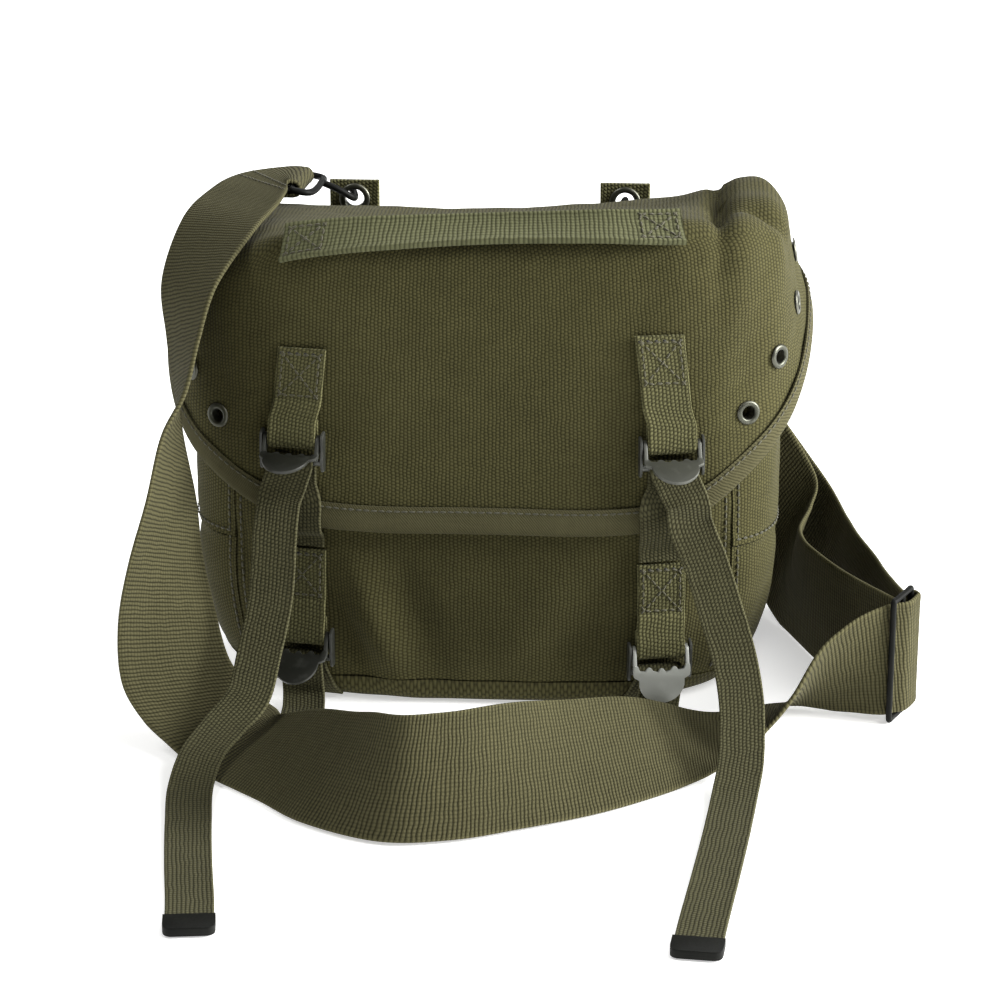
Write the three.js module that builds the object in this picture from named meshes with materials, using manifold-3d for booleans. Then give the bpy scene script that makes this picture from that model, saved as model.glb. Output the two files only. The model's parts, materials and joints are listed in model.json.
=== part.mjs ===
// A small canvas field pack, standing filled on a table: a rounded box of sewn panels, a flap with side wings,
// webbing straps with lever buckles, and a wide shoulder strap lying loose in front of it.
// Millimetres, +Z up. The front looks along -Y, and the origin is the middle of the flat base.
import * as THREE from 'three';
import { mergeVertices } from 'three/addons/utils/BufferGeometryUtils.js';
import Module from 'manifold-3d';

const wasm = await Module();
wasm.setup();

// Driving sizes
const CANVAS = 1.8; // body wall
const FLAP = 2.0; // flap, canvas turned under
const TAPE = 0.8; // binding tape
const GAP = 0.3; // left between neighbours
const WEB = 1.5; // narrow webbing
const WEB_WIDTH = 20.5; // chapes
const STRAP_WIDTH = 18.6; // closure and bottom straps
const CHAPE_X = 74; // buckle columns, left and right of the middle
const SHOULDER_WIDTH = 50;
const SHOULDER = 1.8;
const SEAM_CORNER = 106; // seam between front and side, along the wall from the front middle
const SEAM_BACK = 240; // seam between side and back
const BASE_SEAM = 12; // height where the bottom panel meets the walls
const SIDE_SEAM = 70; // level seam on each side
const TOP_ROUND = 16; // rounding of the top edge
const TOP_SQUARE = 6; // less than that over the right wing
const FLAP_OFF = 3.3; // middle of the flap outside the body
const BINDING = 10; // width of the tape on the face
const BAR = 1.3; // radius of a buckle's bars
const BAR_OUT = 4.0; // bars stand this far off the cloth
const BAR_STEP = 9; // from the chape bar down to the strap bar
const WRAP = BAR + GAP + WEB / 2; // webbing's middle round a bar

// Level sections of the filled body, from the base up
const SECTIONS = [
  { z: 0, half: 94, front: -52, back: 47, round: 2.9 },
  { z: 1, half: 100, front: -56, back: 51.5, round: 2.9 },
  { z: 4, half: 107, front: -59, back: 55, round: 3.0 },
  { z: 12, half: 114.5, front: -61.5, back: 57.5, round: 3.1 },
  { z: 28, half: 120.5, front: -62.5, back: 58, round: 3.2 },
  { z: 50, half: 124.5, front: -62, back: 58.5, round: 3.3 },
  { z: 80, half: 125.5, front: -60, back: 58.5, round: 3.3 },
  { z: 115, half: 125.5, front: -58.5, back: 58, round: 3.3 },
  { z: 150, half: 125.5, front: -57.5, back: 57, round: 3.4 },
  { z: 180, half: 123.5, front: -56.5, back: 55.5, round: 3.5 },
  { z: 215, half: 119, front: -54, back: 53, round: 3.5 },
];

// Soft folds and dents in the walls: s along the wall from the front middle, depth inward
const FOLDS = [
  { s: -57, z: 30, depth: 2.4, wide: 8, high: 24, slant: -0.35 },
  { s: -42, z: 36, depth: -2, wide: 7, high: 30, slant: -0.35 },
  { s: -27, z: 44, depth: 2, wide: 8, high: 28, slant: -0.35 },
  { s: 34, z: 34, depth: 1.6, wide: 14, high: 16, slant: -0.3 },
  { s: 96, z: 40, depth: 1.8, wide: 9, high: 24, slant: 0.15 },
  { s: -98, z: 40, depth: 1.8, wide: 9, high: 24, slant: -0.15 },
  { s: 176, z: 69, depth: 2.2, wide: 44, high: 5, slant: 0 },
  { s: -176, z: 69, depth: 2.2, wide: 44, high: 5, slant: 0 },
  { s: 110, z: 150, depth: 1.6, wide: 8, high: 30, slant: 0.2 },
  { s: -112, z: 150, depth: 1.6, wide: 8, high: 30, slant: -0.2 },
];

// Lower edge of the flap along the wall; skew is how much higher it hangs on the right and lower on the left
const HEM = [
  { s: 0, z: 82, skew: 0 },
  { s: 64, z: 82.5, skew: 0 },
  { s: 90, z: 89.5, skew: 0.6 },
  { s: 100, z: 95, skew: 1.5 },
  { s: 110, z: 102, skew: 2.5 },
  { s: 120, z: 110, skew: 3.5 },
  { s: 130, z: 119.5, skew: 4 },
  { s: 140, z: 130, skew: 4 },
  { s: 147, z: 136.5, skew: 3.6 },
  { s: 160, z: 146, skew: 3 },
  { s: 173, z: 153.5, skew: 2.4 },
  { s: 190, z: 161, skew: 1.6 },
  { s: 205, z: 165, skew: 1 },
  { s: 225, z: 166.5, skew: 0.4 },
  { s: 250, z: 164.5, skew: 0 },
  { s: 280, z: 162.5, skew: 0 },
  { s: 348, z: 160, skew: 0 },
];

// Hills and hollows of the top, on a plane that falls to the back
const TOP_LEVEL = 200;
const TOP_FALL = 0.16;
const TOP_LIFT = 0.035;
const TOP_FORMS = [
  { x: 0, y: 40, rise: -4, wide: 70, deep: 45 },
  { x: 106, y: 24, rise: 13.5, wide: 20, deep: 24 },
  { x: 86, y: 4, rise: -3.5, wide: 8, deep: 36 },
  { x: 112, y: -14, rise: -4.5, wide: 13, deep: 12 },
  { x: -106, y: 26, rise: 2, wide: 24, deep: 26 },
  { x: -118, y: -50, rise: -12, wide: 26, deep: 28 },
  { x: -30, y: 0, rise: -2, wide: 30, deep: 30 },
];

// Eyelets of the wings, from the front corner back: way along the wall and height on the right and on the left
const EYELETS = [
  { s: 111, right: 130.1, left: 125 },
  { s: 125, right: 151.3, left: 142 },
  { s: 147, right: 167.2, left: 156 },
  { s: 173, right: 182, left: 169.5 },
];

// Shoulder strap: its middle line and the way across it, from the left hook to the right one and back
const SHOULDER_ROWS = [
  { x: -99, y: 50, z: 195.2, wx: 0.1, wy: -0.98, wz: 0.15 },
  { x: -91, y: 55.5, z: 194.3, wx: 0.03, wy: -0.99, wz: 0.15 },
  { x: -86.5, y: 56, z: 194.2, wx: 0, wy: -0.99, wz: 0.15 },
  { x: -84.3, y: 56, z: 195.1, wx: 0, wy: -0.99, wz: 0.15 },
  { x: -83.4, y: 56, z: 197.3, wx: 0, wy: -0.99, wz: 0.15 },
  { x: -84.3, y: 56, z: 199.5, wx: 0, wy: -0.99, wz: 0.15 },
  { x: -86.5, y: 56, z: 200.4, wx: 0, wy: -0.99, wz: 0.15 },
  { x: -91.5, y: 53.5, z: 200.9, wx: 0.12, wy: -0.98, wz: 0.14 },
  { x: -100, y: 35, z: 202.4, wx: 0.52, wy: -0.85, wz: 0.1 },
  { x: -105, y: 10, z: 203, wx: 0.66, wy: -0.74, wz: 0.08 },
  { x: -112, y: -22, z: 200, wx: 0.68, wy: -0.71, wz: 0.1 },
  { x: -120.8, y: -50, z: 183.5, wx: 0.56, wy: -0.8, wz: 0.2 },
  { x: -122.3, y: -62, z: 163.4, wx: 0.39, wy: -0.88, wz: 0.26 },
  { x: -122.8, y: -71, z: 143.3, wx: 0.22, wy: -0.93, wz: 0.3 },
  { x: -125.5, y: -79, z: 126, wx: -0.02, wy: -0.94, wz: 0.34 },
  { x: -126, y: -85, z: 101, wx: -0.26, wy: -0.92, wz: 0.3 },
  { x: -128.3, y: -90, z: 76, wx: -0.48, wy: -0.84, wz: 0.24 },
  { x: -128.1, y: -94, z: 52, wx: -0.7, wy: -0.7, wz: 0.13 },
  { x: -124.7, y: -97.5, z: 30, wx: -0.81, wy: -0.58, wz: 0.02 },
  { x: -115.5, y: -100.5, z: 16, wx: -0.85, wy: -0.5, wz: -0.06 },
  { x: -104.5, y: -107, z: 9, wx: -0.77, wy: -0.6, wz: -0.1 },
  { x: -91, y: -121, z: 6, wx: -0.45, wy: -0.86, wz: -0.21 },
  { x: -73, y: -140, z: 12, wx: -0.42, wy: -0.78, wz: -0.46 },
  { x: -54, y: -163.5, z: 18.5, wx: -0.4, wy: -0.58, wz: -0.7 },
  { x: -30, y: -183, z: 23.5, wx: -0.1, wy: -0.4, wz: -0.91 },
  { x: -6, y: -180, z: 23.5, wx: 0.1, wy: -0.4, wz: -0.91 },
  { x: 17, y: -168, z: 22.8, wx: 0.2, wy: -0.45, wz: -0.87 },
  { x: 45, y: -147, z: 18, wx: 0.33, wy: -0.65, wz: -0.68 },
  { x: 70, y: -125, z: 12.5, wx: 0.3, wy: -0.82, wz: -0.48 },
  { x: 97, y: -98, z: 3.6, wx: 0.14, wy: -0.98, wz: -0.06 },
  { x: 111, y: -88, z: 4.2, wx: 0.02, wy: -0.99, wz: 0.1 },
  { x: 121, y: -82, z: 7.8, wx: 0, wy: -0.96, wz: 0.24 },
  { x: 131, y: -77.5, z: 13.2, wx: 0, wy: -0.88, wz: 0.47 },
  { x: 143, y: -72.5, z: 21, wx: 0, wy: -0.58, wz: 0.81 },
  { x: 156, y: -70, z: 26, wx: 0, wy: -0.28, wz: 0.96 },
  { x: 169.6, y: -68.1, z: 28.4, wx: 0, wy: 0, wz: 1 },
  { x: 174.5, y: -65.5, z: 28.4, wx: 0, wy: 0, wz: 1 },
  { x: 179.4, y: -62.9, z: 28.4, wx: 0, wy: 0, wz: 1 },
  { x: 183.5, y: -54.8, z: 28.4, wx: 0, wy: 0, wz: 1 },
  { x: 183.6, y: -52.4, z: 28.4, wx: 0, wy: 0, wz: 1 },
  { x: 182, y: -50.5, z: 28.4, wx: 0, wy: 0, wz: 1 },
  { x: 179.6, y: -50.4, z: 28.4, wx: 0, wy: 0, wz: 1 },
  { x: 177.7, y: -52, z: 28.4, wx: 0, wy: 0, wz: 1 },
  { x: 172.4, y: -30, z: 27, wx: 0, wy: 0, wz: 1 },
  { x: 165.5, y: -6, z: 25.6, wx: 0.1, wy: 0, wz: 0.99 },
  { x: 159, y: 20, z: 25.6, wx: 0.1, wy: 0, wz: 0.99 },
  { x: 152, y: 46, z: 26.5, wx: 0.2, wy: 0, wz: 0.98 },
  { x: 140, y: 66, z: 34, wx: 0.44, wy: 0, wz: 0.9 },
  { x: 124, y: 77, z: 50, wx: 0.62, wy: 0, wz: 0.78 },
  { x: 109, y: 81, z: 69, wx: 0.75, wy: 0, wz: 0.66 },
  { x: 92, y: 83, z: 96, wx: 0.84, wy: 0, wz: 0.54 },
  { x: 74, y: 84, z: 127, wx: 0.93, wy: 0, wz: 0.36 },
  { x: 60, y: 81.5, z: 156, wx: 0.98, wy: 0, wz: 0.2 },
  { x: 54.6, y: 78.1, z: 169, wx: 1, wy: 0, wz: 0.02 },
  { x: 54.1, y: 77.2, z: 171.7, wx: 1, wy: 0, wz: 0 },
  { x: 54.1, y: 75, z: 172.6, wx: 1, wy: 0, wz: 0 },
  { x: 54.1, y: 72.8, z: 171.7, wx: 1, wy: 0, wz: 0 },
  { x: 54.1, y: 71.9, z: 169, wx: 1, wy: 0, wz: 0.02 },
  { x: 60, y: 74, z: 156, wx: 0.98, wy: 0, wz: 0.2 },
  { x: 73, y: 75, z: 127, wx: 0.92, wy: 0, wz: 0.38 },
  { x: 91, y: 74, z: 98, wx: 0.82, wy: 0, wz: 0.57 },
  { x: 112, y: 69.5, z: 68, wx: 0.74, wy: 0, wz: 0.67 },
  { x: 128, y: 60, z: 44, wx: 0.66, wy: 0, wz: 0.75 },
  { x: 132.5, y: 46, z: 31, wx: 0.4, wy: 0.05, wz: 0.91 },
  { x: 134, y: 28, z: 25.8, wx: 0.12, wy: 0, wz: 0.99 },
  { x: 138, y: 10, z: 25.6, wx: 0, wy: 0, wz: 1 },
  { x: 145, y: -8, z: 25.8, wx: 0, wy: 0, wz: 1 },
  { x: 155, y: -28, z: 26.5, wx: 0, wy: 0, wz: 1 },
  { x: 164.5, y: -45, z: 27.5, wx: 0, wy: 0, wz: 1 },
  { x: 173.7, y: -60.1, z: 28.4, wx: 0, wy: 0, wz: 1 },
];

// Slider on the shoulder strap: its three upright bars in plan
const SLIDER = { x: 172.5, y: -69.5, dx: 0.45, dy: 0.893, pitch: 9, low: 1.6, high: 55.4, bar: 1.3 };

// Free ends of the closure straps, from the buckle down over the shoulder strap to the tip
const TAIL_LEFT = [
  { x: -85.5, y: -74, z: 85 },
  { x: -86.5, y: -81, z: 57 },
  { x: -90.5, y: -92, z: 36 },
  { x: -94, y: -105, z: 22 },
  { x: -103, y: -118, z: 14 },
  { x: -109.5, y: -132, z: 9 },
  { x: -112, y: -150, z: 3.2 },
  { x: -109, y: -180, z: 1.4 },
  { x: -104, y: -216, z: 1.4 },
  { x: -99, y: -248, z: 1.6 },
  { x: -96.5, y: -268, z: 2.3 },
];
const TAIL_RIGHT = [
  { x: 95, y: -73.5, z: 90 },
  { x: 101, y: -79, z: 75 },
  { x: 107.5, y: -86, z: 57 },
  { x: 111.5, y: -95, z: 39 },
  { x: 112.2, y: -107, z: 26 },
  { x: 111, y: -118, z: 17 },
  { x: 109.3, y: -131, z: 9.5 },
  { x: 106.8, y: -148, z: 3.4 },
  { x: 103, y: -180, z: 1.4 },
  { x: 98.3, y: -218, z: 1.4 },
  { x: 93.7, y: -254, z: 1.6 },
  { x: 91.3, y: -276, z: 2.3 },
];

// Looks
const canvas = () => new THREE.MeshStandardMaterial({ color: 0x555139, roughness: 0.95, metalness: 0 });
const webbing = () => new THREE.MeshStandardMaterial({ color: 0x5a5b43, roughness: 0.9, metalness: 0 });
const tape = () => new THREE.MeshStandardMaterial({ color: 0x4d4b37, roughness: 0.95, metalness: 0 });
const metal = () => new THREE.MeshStandardMaterial({ color: 0x35362f, roughness: 0.45, metalness: 0.8 });

const pack = new THREE.Group();
const v3 = (x, y, z) => new THREE.Vector3(x, y, z);

// One row of a table at any place along one of its columns, through a smooth curve
function rowAt(table, key, t) {
  const last = table.length - 1;
  let i = 0;
  while (i < last - 1 && t > table[i + 1][key]) i += 1;
  const before = table[Math.max(i - 1, 0)];
  const a = table[i];
  const b = table[i + 1];
  const after = table[Math.min(i + 2, last)];
  const span = b[key] - a[key];
  const u = THREE.MathUtils.clamp((t - a[key]) / span, 0, 1);
  const out = {};
  for (const col of Object.keys(a)) {
    const m0 = (b[col] - before[col]) / (b[key] - before[key]) * span;
    const m1 = (after[col] - a[col]) / (after[key] - a[key]) * span;
    const u2 = u * u;
    const u3 = u2 * u;
    out[col] = (2 * u3 - 3 * u2 + 1) * a[col] + (u3 - 2 * u2 + u) * m0
      + (3 * u2 - 2 * u3) * b[col] + (u3 - u2) * m1;
  }
  return out;
}

// The same through rows that carry no distance of their own
function rowsAlong(table, steps) {
  const numbered = table.map((row, i) => ({ i, ...row }));
  const out = [];
  for (let k = 0; k <= steps; k += 1) out.push(rowAt(numbered, 'i', k / steps * (table.length - 1)));
  return out;
}

function bell(x, wide) {
  return Math.exp(-(x / wide) * (x / wide));
}

function rise01(t) {
  return THREE.MathUtils.smoothstep(t, 0, 1);
}

// Outer face of the body: a superellipse at every height
function sectionPoint(phi, z) {
  const row = rowAt(SECTIONS, 'z', z);
  const deep = (row.back - row.front) / 2;
  const c = Math.abs(Math.cos(phi)) / row.half;
  const s = Math.abs(Math.sin(phi)) / deep;
  const r = (c ** row.round + s ** row.round) ** (-1 / row.round);
  return v3(r * Math.cos(phi), (row.front + row.back) / 2 + r * Math.sin(phi), z);
}

// Distance along the wall from the front middle, measured half way up, turned into a direction
const ROUND_STEPS = 720;
const roundTable = [{ s: 0, phi: -Math.PI / 2 }];
for (let i = 1; i <= ROUND_STEPS; i += 1) {
  const phi = -Math.PI / 2 + i / ROUND_STEPS * Math.PI;
  const before = roundTable[i - 1];
  const step = sectionPoint(phi, 110).distanceTo(sectionPoint(before.phi, 110));
  roundTable.push({ s: before.s + step, phi });
}
const HALF_ROUND = roundTable[ROUND_STEPS].s;

function directionAt(s) {
  let d = s;
  if (d > HALF_ROUND) d -= 2 * HALF_ROUND;
  if (d < -HALF_ROUND) d += 2 * HALF_ROUND;
  const t = Math.abs(d);
  let lo = 0;
  let hi = ROUND_STEPS;
  while (hi - lo > 1) {
    const mid = (lo + hi) >> 1;
    if (roundTable[mid].s <= t) lo = mid;
    else hi = mid;
  }
  const u = (t - roundTable[lo].s) / (roundTable[hi].s - roundTable[lo].s);
  const phi = roundTable[lo].phi + u * (roundTable[hi].phi - roundTable[lo].phi);
  return d < 0 ? -Math.PI - phi : phi;
}

function bareWall(s, z) {
  const p = sectionPoint(directionAt(s), z);
  let dent = 0;
  for (const f of FOLDS) {
    const along = s - f.s - f.slant * (z - f.z);
    dent += f.depth * bell(along, f.wide) * bell(z - f.z, f.high);
  }
  const out = v3(p.x, p.y, 0).normalize();
  return p.addScaledVector(out, -dent);
}

function wallNormal(s, z) {
  const across = bareWall(s + 0.6, z).sub(bareWall(s - 0.6, z));
  const lo = Math.max(z - 0.6, 0);
  const up = bareWall(s, z + 0.6).sub(bareWall(s, lo));
  return across.cross(up).normalize();
}

function wall(s, z, off = 0) {
  return bareWall(s, z).addScaledVector(wallNormal(s, z), off);
}

// Flap: its lower edge, how far it stands off, and its top
function hemZ(s) {
  const row = rowAt(HEM, 's', Math.min(Math.abs(s), HALF_ROUND));
  return row.z + Math.sign(s) * row.skew;
}

function flapOff(s, z) {
  const t = Math.abs(s);
  const up = z - hemZ(s);
  const wing = 3 * bell(t - 166, 44) * rise01(1 - up / 62) + 4.5 * bell(t - 172, 34) * rise01(1 - up / 26);
  const front = 1.2 * bell(t, 90) * rise01(1 - up / 26);
  return FLAP_OFF + wing + front;
}

function topZ(x, y) {
  let z = TOP_LEVEL - TOP_FALL * y + TOP_LIFT * x;
  for (const f of TOP_FORMS) z += f.rise * bell(x - f.x, f.wide) * bell(y - f.y, f.deep);
  return z;
}

function roundAt(s) {
  return TOP_ROUND - TOP_SQUARE * bell(s - 170, 45);
}

function shoulderZ(s) {
  const e = wall(s, 180, FLAP_OFF);
  return topZ(e.x, e.y) - roundAt(s);
}

function flapWall(s, z, off = 0) {
  return wall(s, z, flapOff(s, z) + off);
}

// Place beside the flap's edge: height above the edge, distance off the flap along its own outward direction
function besideEdge(s, up, off = 0) {
  const at = (ds, du) => flapWall(s + ds, hemZ(s + ds) + up + du);
  const across = at(0.6, 0).sub(at(-0.6, 0));
  const rise = at(0, 0.6).sub(at(0, -0.6));
  return at(0, 0).addScaledVector(across.cross(rise).normalize(), off);
}

// Point of the flap's middle on ring: flat top (k), rounded edge (q, 0 to 1), wall down to the tape (w, 0 to 1)
// or the edge itself (up, height above it)
function flapPoint(s, ring) {
  const zs = shoulderZ(s);
  if (ring.w !== undefined) {
    const z = zs + (hemZ(s) + BINDING - zs) * ring.w;
    return flapWall(s, z);
  }
  if (ring.up !== undefined) return flapWall(s, hemZ(s) + ring.up);
  const e = flapWall(s, zs);
  const reach = Math.hypot(e.x, e.y);
  const flat = 1 - roundAt(s) / reach;
  const k = ring.k !== undefined ? ring.k * flat : flat + ring.q * (1 - flat);
  const x = e.x * k;
  const y = e.y * k;
  const drop = ring.q ? roundAt(s) * (1 - Math.sqrt(1 - ring.q * ring.q)) : 0;
  return v3(x, y, topZ(x, y) - drop);
}

// Turns faces outward if the closed surface came out inside out
function outward(geometry) {
  const pos = geometry.attributes.position;
  const idx = geometry.index.array;
  let volume = 0;
  const a = v3();
  const b = v3();
  const c = v3();
  for (let i = 0; i < idx.length; i += 3) {
    a.fromBufferAttribute(pos, idx[i]);
    b.fromBufferAttribute(pos, idx[i + 1]);
    c.fromBufferAttribute(pos, idx[i + 2]);
    volume += a.dot(b.cross(c));
  }
  if (volume < 0) {
    for (let i = 0; i < idx.length; i += 3) {
      const keep = idx[i];
      idx[i] = idx[i + 1];
      idx[i + 1] = keep;
    }
  }
  return geometry;
}

function closed(points, faces) {
  const geometry = new THREE.BufferGeometry();
  const flat = new Float32Array(points.length * 3);
  points.forEach((p, i) => p.toArray(flat, i * 3));
  geometry.setAttribute('position', new THREE.BufferAttribute(flat, 3));
  geometry.setIndex(faces.filter((n, i) => {
    const t = i - i % 3;
    return faces[t] !== faces[t + 1] && faces[t + 1] !== faces[t + 2] && faces[t] !== faces[t + 2];
  }));
  return outward(geometry);
}

// A wall of even thickness along a grid of middle points; ring closes it across, pole joins its first row
function sheet(grid, thickness, { ring = false, pole = false } = {}) {
  const rows = grid.length;
  const cols = grid[0].length;
  const at = (r, c) => grid[r][ring ? (c + cols) % cols : THREE.MathUtils.clamp(c, 0, cols - 1)];
  const normals = grid.map((row, r) => row.map((p, c) => {
    if (pole && r === 0) return v3(0, 0, 0);
    const across = at(r, c + 1).clone().sub(at(r, c - 1));
    const down = at(Math.min(r + 1, rows - 1), c).clone().sub(at(Math.max(r - 1, 0), c));
    return across.cross(down).normalize();
  }));
  if (pole) {
    const mean = v3(0, 0, 0);
    normals[1].forEach((n) => mean.add(n));
    mean.normalize();
    normals[0] = normals[0].map(() => mean);
  }
  const points = [];
  const ids = [[], []];
  for (const side of [0, 1]) {
    for (let r = 0; r < rows; r += 1) {
      ids[side].push([]);
      for (let c = 0; c < cols; c += 1) {
        if (pole && r === 0 && c > 0) {
          ids[side][0].push(ids[side][0][0]);
          continue;
        }
        ids[side][r].push(points.length);
        points.push(grid[r][c].clone().addScaledVector(normals[r][c], (side ? -0.5 : 0.5) * thickness));
      }
    }
  }
  const faces = [];
  const quad = (a, b, c, d) => faces.push(a, b, c, a, c, d);
  const lastCol = ring ? cols : cols - 1;
  for (let r = 0; r < rows - 1; r += 1) {
    for (let c = 0; c < lastCol; c += 1) {
      const n = (c + 1) % cols;
      quad(ids[0][r][c], ids[0][r][n], ids[0][r + 1][n], ids[0][r + 1][c]);
      quad(ids[1][r][c], ids[1][r + 1][c], ids[1][r + 1][n], ids[1][r][n]);
    }
  }
  for (let c = 0; c < lastCol; c += 1) {
    const n = (c + 1) % cols;
    if (!pole) quad(ids[0][0][n], ids[0][0][c], ids[1][0][c], ids[1][0][n]);
    quad(ids[0][rows - 1][c], ids[0][rows - 1][n], ids[1][rows - 1][n], ids[1][rows - 1][c]);
  }
  if (!ring) {
    for (let r = 0; r < rows - 1; r += 1) {
      quad(ids[0][r][0], ids[0][r + 1][0], ids[1][r + 1][0], ids[1][r][0]);
      quad(ids[0][r + 1][cols - 1], ids[0][r][cols - 1], ids[1][r][cols - 1], ids[1][r + 1][cols - 1]);
    }
  }
  return closed(points, faces);
}

// A flat strap: middle points and the way across it at each
function strap(middle, across, width, thickness) {
  const grid = middle.map((p, i) => {
    const w = across[i].clone().normalize();
    return [-0.5, 0.5].map((k) => p.clone().addScaledVector(w, k * width));
  });
  const n = middle.length;
  const points = [];
  const faces = [];
  for (let i = 0; i < n; i += 1) {
    const along = middle[Math.min(i + 1, n - 1)].clone().sub(middle[Math.max(i - 1, 0)]);
    const face = along.cross(across[i]).normalize().multiplyScalar(thickness / 2);
    points.push(grid[i][0].clone().sub(face), grid[i][1].clone().sub(face));
    points.push(grid[i][1].clone().add(face), grid[i][0].clone().add(face));
  }
  const quad = (a, b, c, d) => faces.push(a, b, c, a, c, d);
  for (let i = 0; i < n - 1; i += 1) {
    for (let k = 0; k < 4; k += 1) {
      const a = i * 4 + k;
      const b = i * 4 + (k + 1) % 4;
      if (k === 2) quad(b, b + 4, a + 4, a);
      else quad(a, b, b + 4, a + 4);
    }
  }
  quad(3, 2, 1, 0);
  const e = (n - 1) * 4;
  quad(e, e + 1, e + 2, e + 3);
  return closed(points, faces);
}

// Joins and cuts
function toSolid(geometry, matrix = null) {
  let g = geometry.clone();
  if (matrix) g.applyMatrix4(matrix);
  for (const name of Object.keys(g.attributes)) {
    if (name !== 'position') g.deleteAttribute(name);
  }
  g = outward(mergeVertices(g, 1e-4));
  return new wasm.Manifold(new wasm.Mesh({
    numProp: 3,
    vertProperties: new Float32Array(g.attributes.position.array),
    triVerts: new Uint32Array(g.index.array),
  }));
}

function fromSolid(solid) {
  const mesh = solid.getMesh();
  const points = [];
  for (let i = 0; i < mesh.vertProperties.length; i += mesh.numProp) {
    points.push(v3().fromArray(mesh.vertProperties, i));
  }
  return closed(points, Array.from(mesh.triVerts));
}

function joined(geometries) {
  return fromSolid(geometries.map((g) => toSolid(g)).reduce((a, b) => a.add(b)));
}

function add(name, geometry, material, matrix = null) {
  geometry.computeVertexNormals();
  const mesh = new THREE.Mesh(geometry, material);
  mesh.name = name;
  if (matrix) mesh.applyMatrix4(matrix);
  pack.add(mesh);
  return mesh;
}

// Place on a wall: x along it, y up it, z straight out
function frameOn(surface, s, z, off = 0) {
  const p = surface(s, z, off);
  const x = surface(s + 0.8, z, off).sub(surface(s - 0.8, z, off)).normalize();
  const up = surface(s, z + 0.8, off).sub(surface(s, z - 0.8, off)).normalize();
  const out = x.clone().cross(up).normalize();
  const y = out.clone().cross(x).normalize();
  return new THREE.Matrix4().makeBasis(x, y, out).setPosition(p);
}

function bar(from, to, radius, sides = 8) {
  const a = v3(...from);
  const b = v3(...to);
  const way = b.clone().sub(a);
  const g = new THREE.CylinderGeometry(radius, radius, way.length(), sides);
  g.applyQuaternion(new THREE.Quaternion().setFromUnitVectors(v3(0, 1, 0), way.clone().normalize()));
  g.translate(...a.add(b).multiplyScalar(0.5).toArray());
  return g;
}

// Body panels
function panel(s0, s1, low, high, cols, rows) {
  const grid = [];
  for (let r = 0; r <= rows; r += 1) {
    grid.push([]);
    for (let c = 0; c <= cols; c += 1) {
      const s = s0 + (s1 - s0) * c / cols;
      const z0 = typeof low === 'function' ? low(s) : low;
      const z1 = typeof high === 'function' ? high(s) : high;
      grid[r].push(wall(s, z0 + (z1 - z0) * r / rows, -CANVAS / 2));
    }
  }
  return sheet(grid, CANVAS);
}

const mouth = (s) => shoulderZ(s) - 7;
const seam = GAP / 2 + 0.15;
add('front_panel', panel(-SEAM_CORNER + seam, SEAM_CORNER - seam, BASE_SEAM + seam, mouth, 12, 9), canvas());
add('back_panel', panel(SEAM_BACK + seam, 2 * HALF_ROUND - SEAM_BACK - seam, BASE_SEAM + seam, mouth, 9, 6),
  canvas());
for (const [side, name] of [[1, 'right'], [-1, 'left']]) {
  const s0 = side * (SEAM_CORNER + seam);
  const s1 = side * (SEAM_BACK - seam);
  add(`side_lower_${name}`, panel(s0, s1, BASE_SEAM + seam, SIDE_SEAM - seam, 8, 4), canvas());
  add(`side_upper_${name}`, panel(s0, s1, SIDE_SEAM + seam, mouth, 8, 6), canvas());
}

// Bottom panel: flat in the middle, rounded up to the wall seam
const BOTTOM_COLS = 28;
const bottomGrid = [];
for (const ring of [{ k: 0 }, { k: 0.9 }, { k: 1 }, { z: 1 }, { z: 3.6 }, { z: BASE_SEAM - seam }]) {
  bottomGrid.push([]);
  for (let c = 0; c < BOTTOM_COLS; c += 1) {
    const s = -HALF_ROUND + 2 * HALF_ROUND * c / BOTTOM_COLS;
    if (ring.k !== undefined) {
      const p = bareWall(s, 0).multiplyScalar(ring.k);
      p.z = CANVAS / 2;
      bottomGrid[bottomGrid.length - 1].push(p);
    } else {
      bottomGrid[bottomGrid.length - 1].push(wall(s, ring.z, -CANVAS / 2));
    }
  }
}
add('bottom_panel', sheet(bottomGrid, CANVAS, { ring: true, pole: true }), canvas());

// Flap, with holes for its eyelets; its columns stand closer at the corners
const SPREAD = [
  { from: 0, to: 84, count: 4 },
  { from: 84, to: 156, count: 8 },
  { from: 156, to: 228, count: 4 },
  { from: 228, to: 268, count: 4 },
  { from: 268, to: HALF_ROUND, count: 4 },
];
const halfStops = SPREAD.flatMap((f) => Array.from({ length: f.count }, (n, i) => f.from + (f.to - f.from) * i / f.count));
const flapStops = [...halfStops, HALF_ROUND, ...halfStops.slice(1).reverse().map((s) => -s)];
const RINGS = [{ k: 0 }, { k: 0.4 }, { k: 0.78 }, { q: 0.06 }, { q: 0.55 }, { q: 0.86 },
  { w: 0 }, { w: 0.24 }, { w: 0.5 }, { w: 0.76 }, { w: 1 }, { up: 0 }];
const flapGrid = RINGS.map((ring) => flapStops.map((s) => flapPoint(s, ring)));

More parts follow.
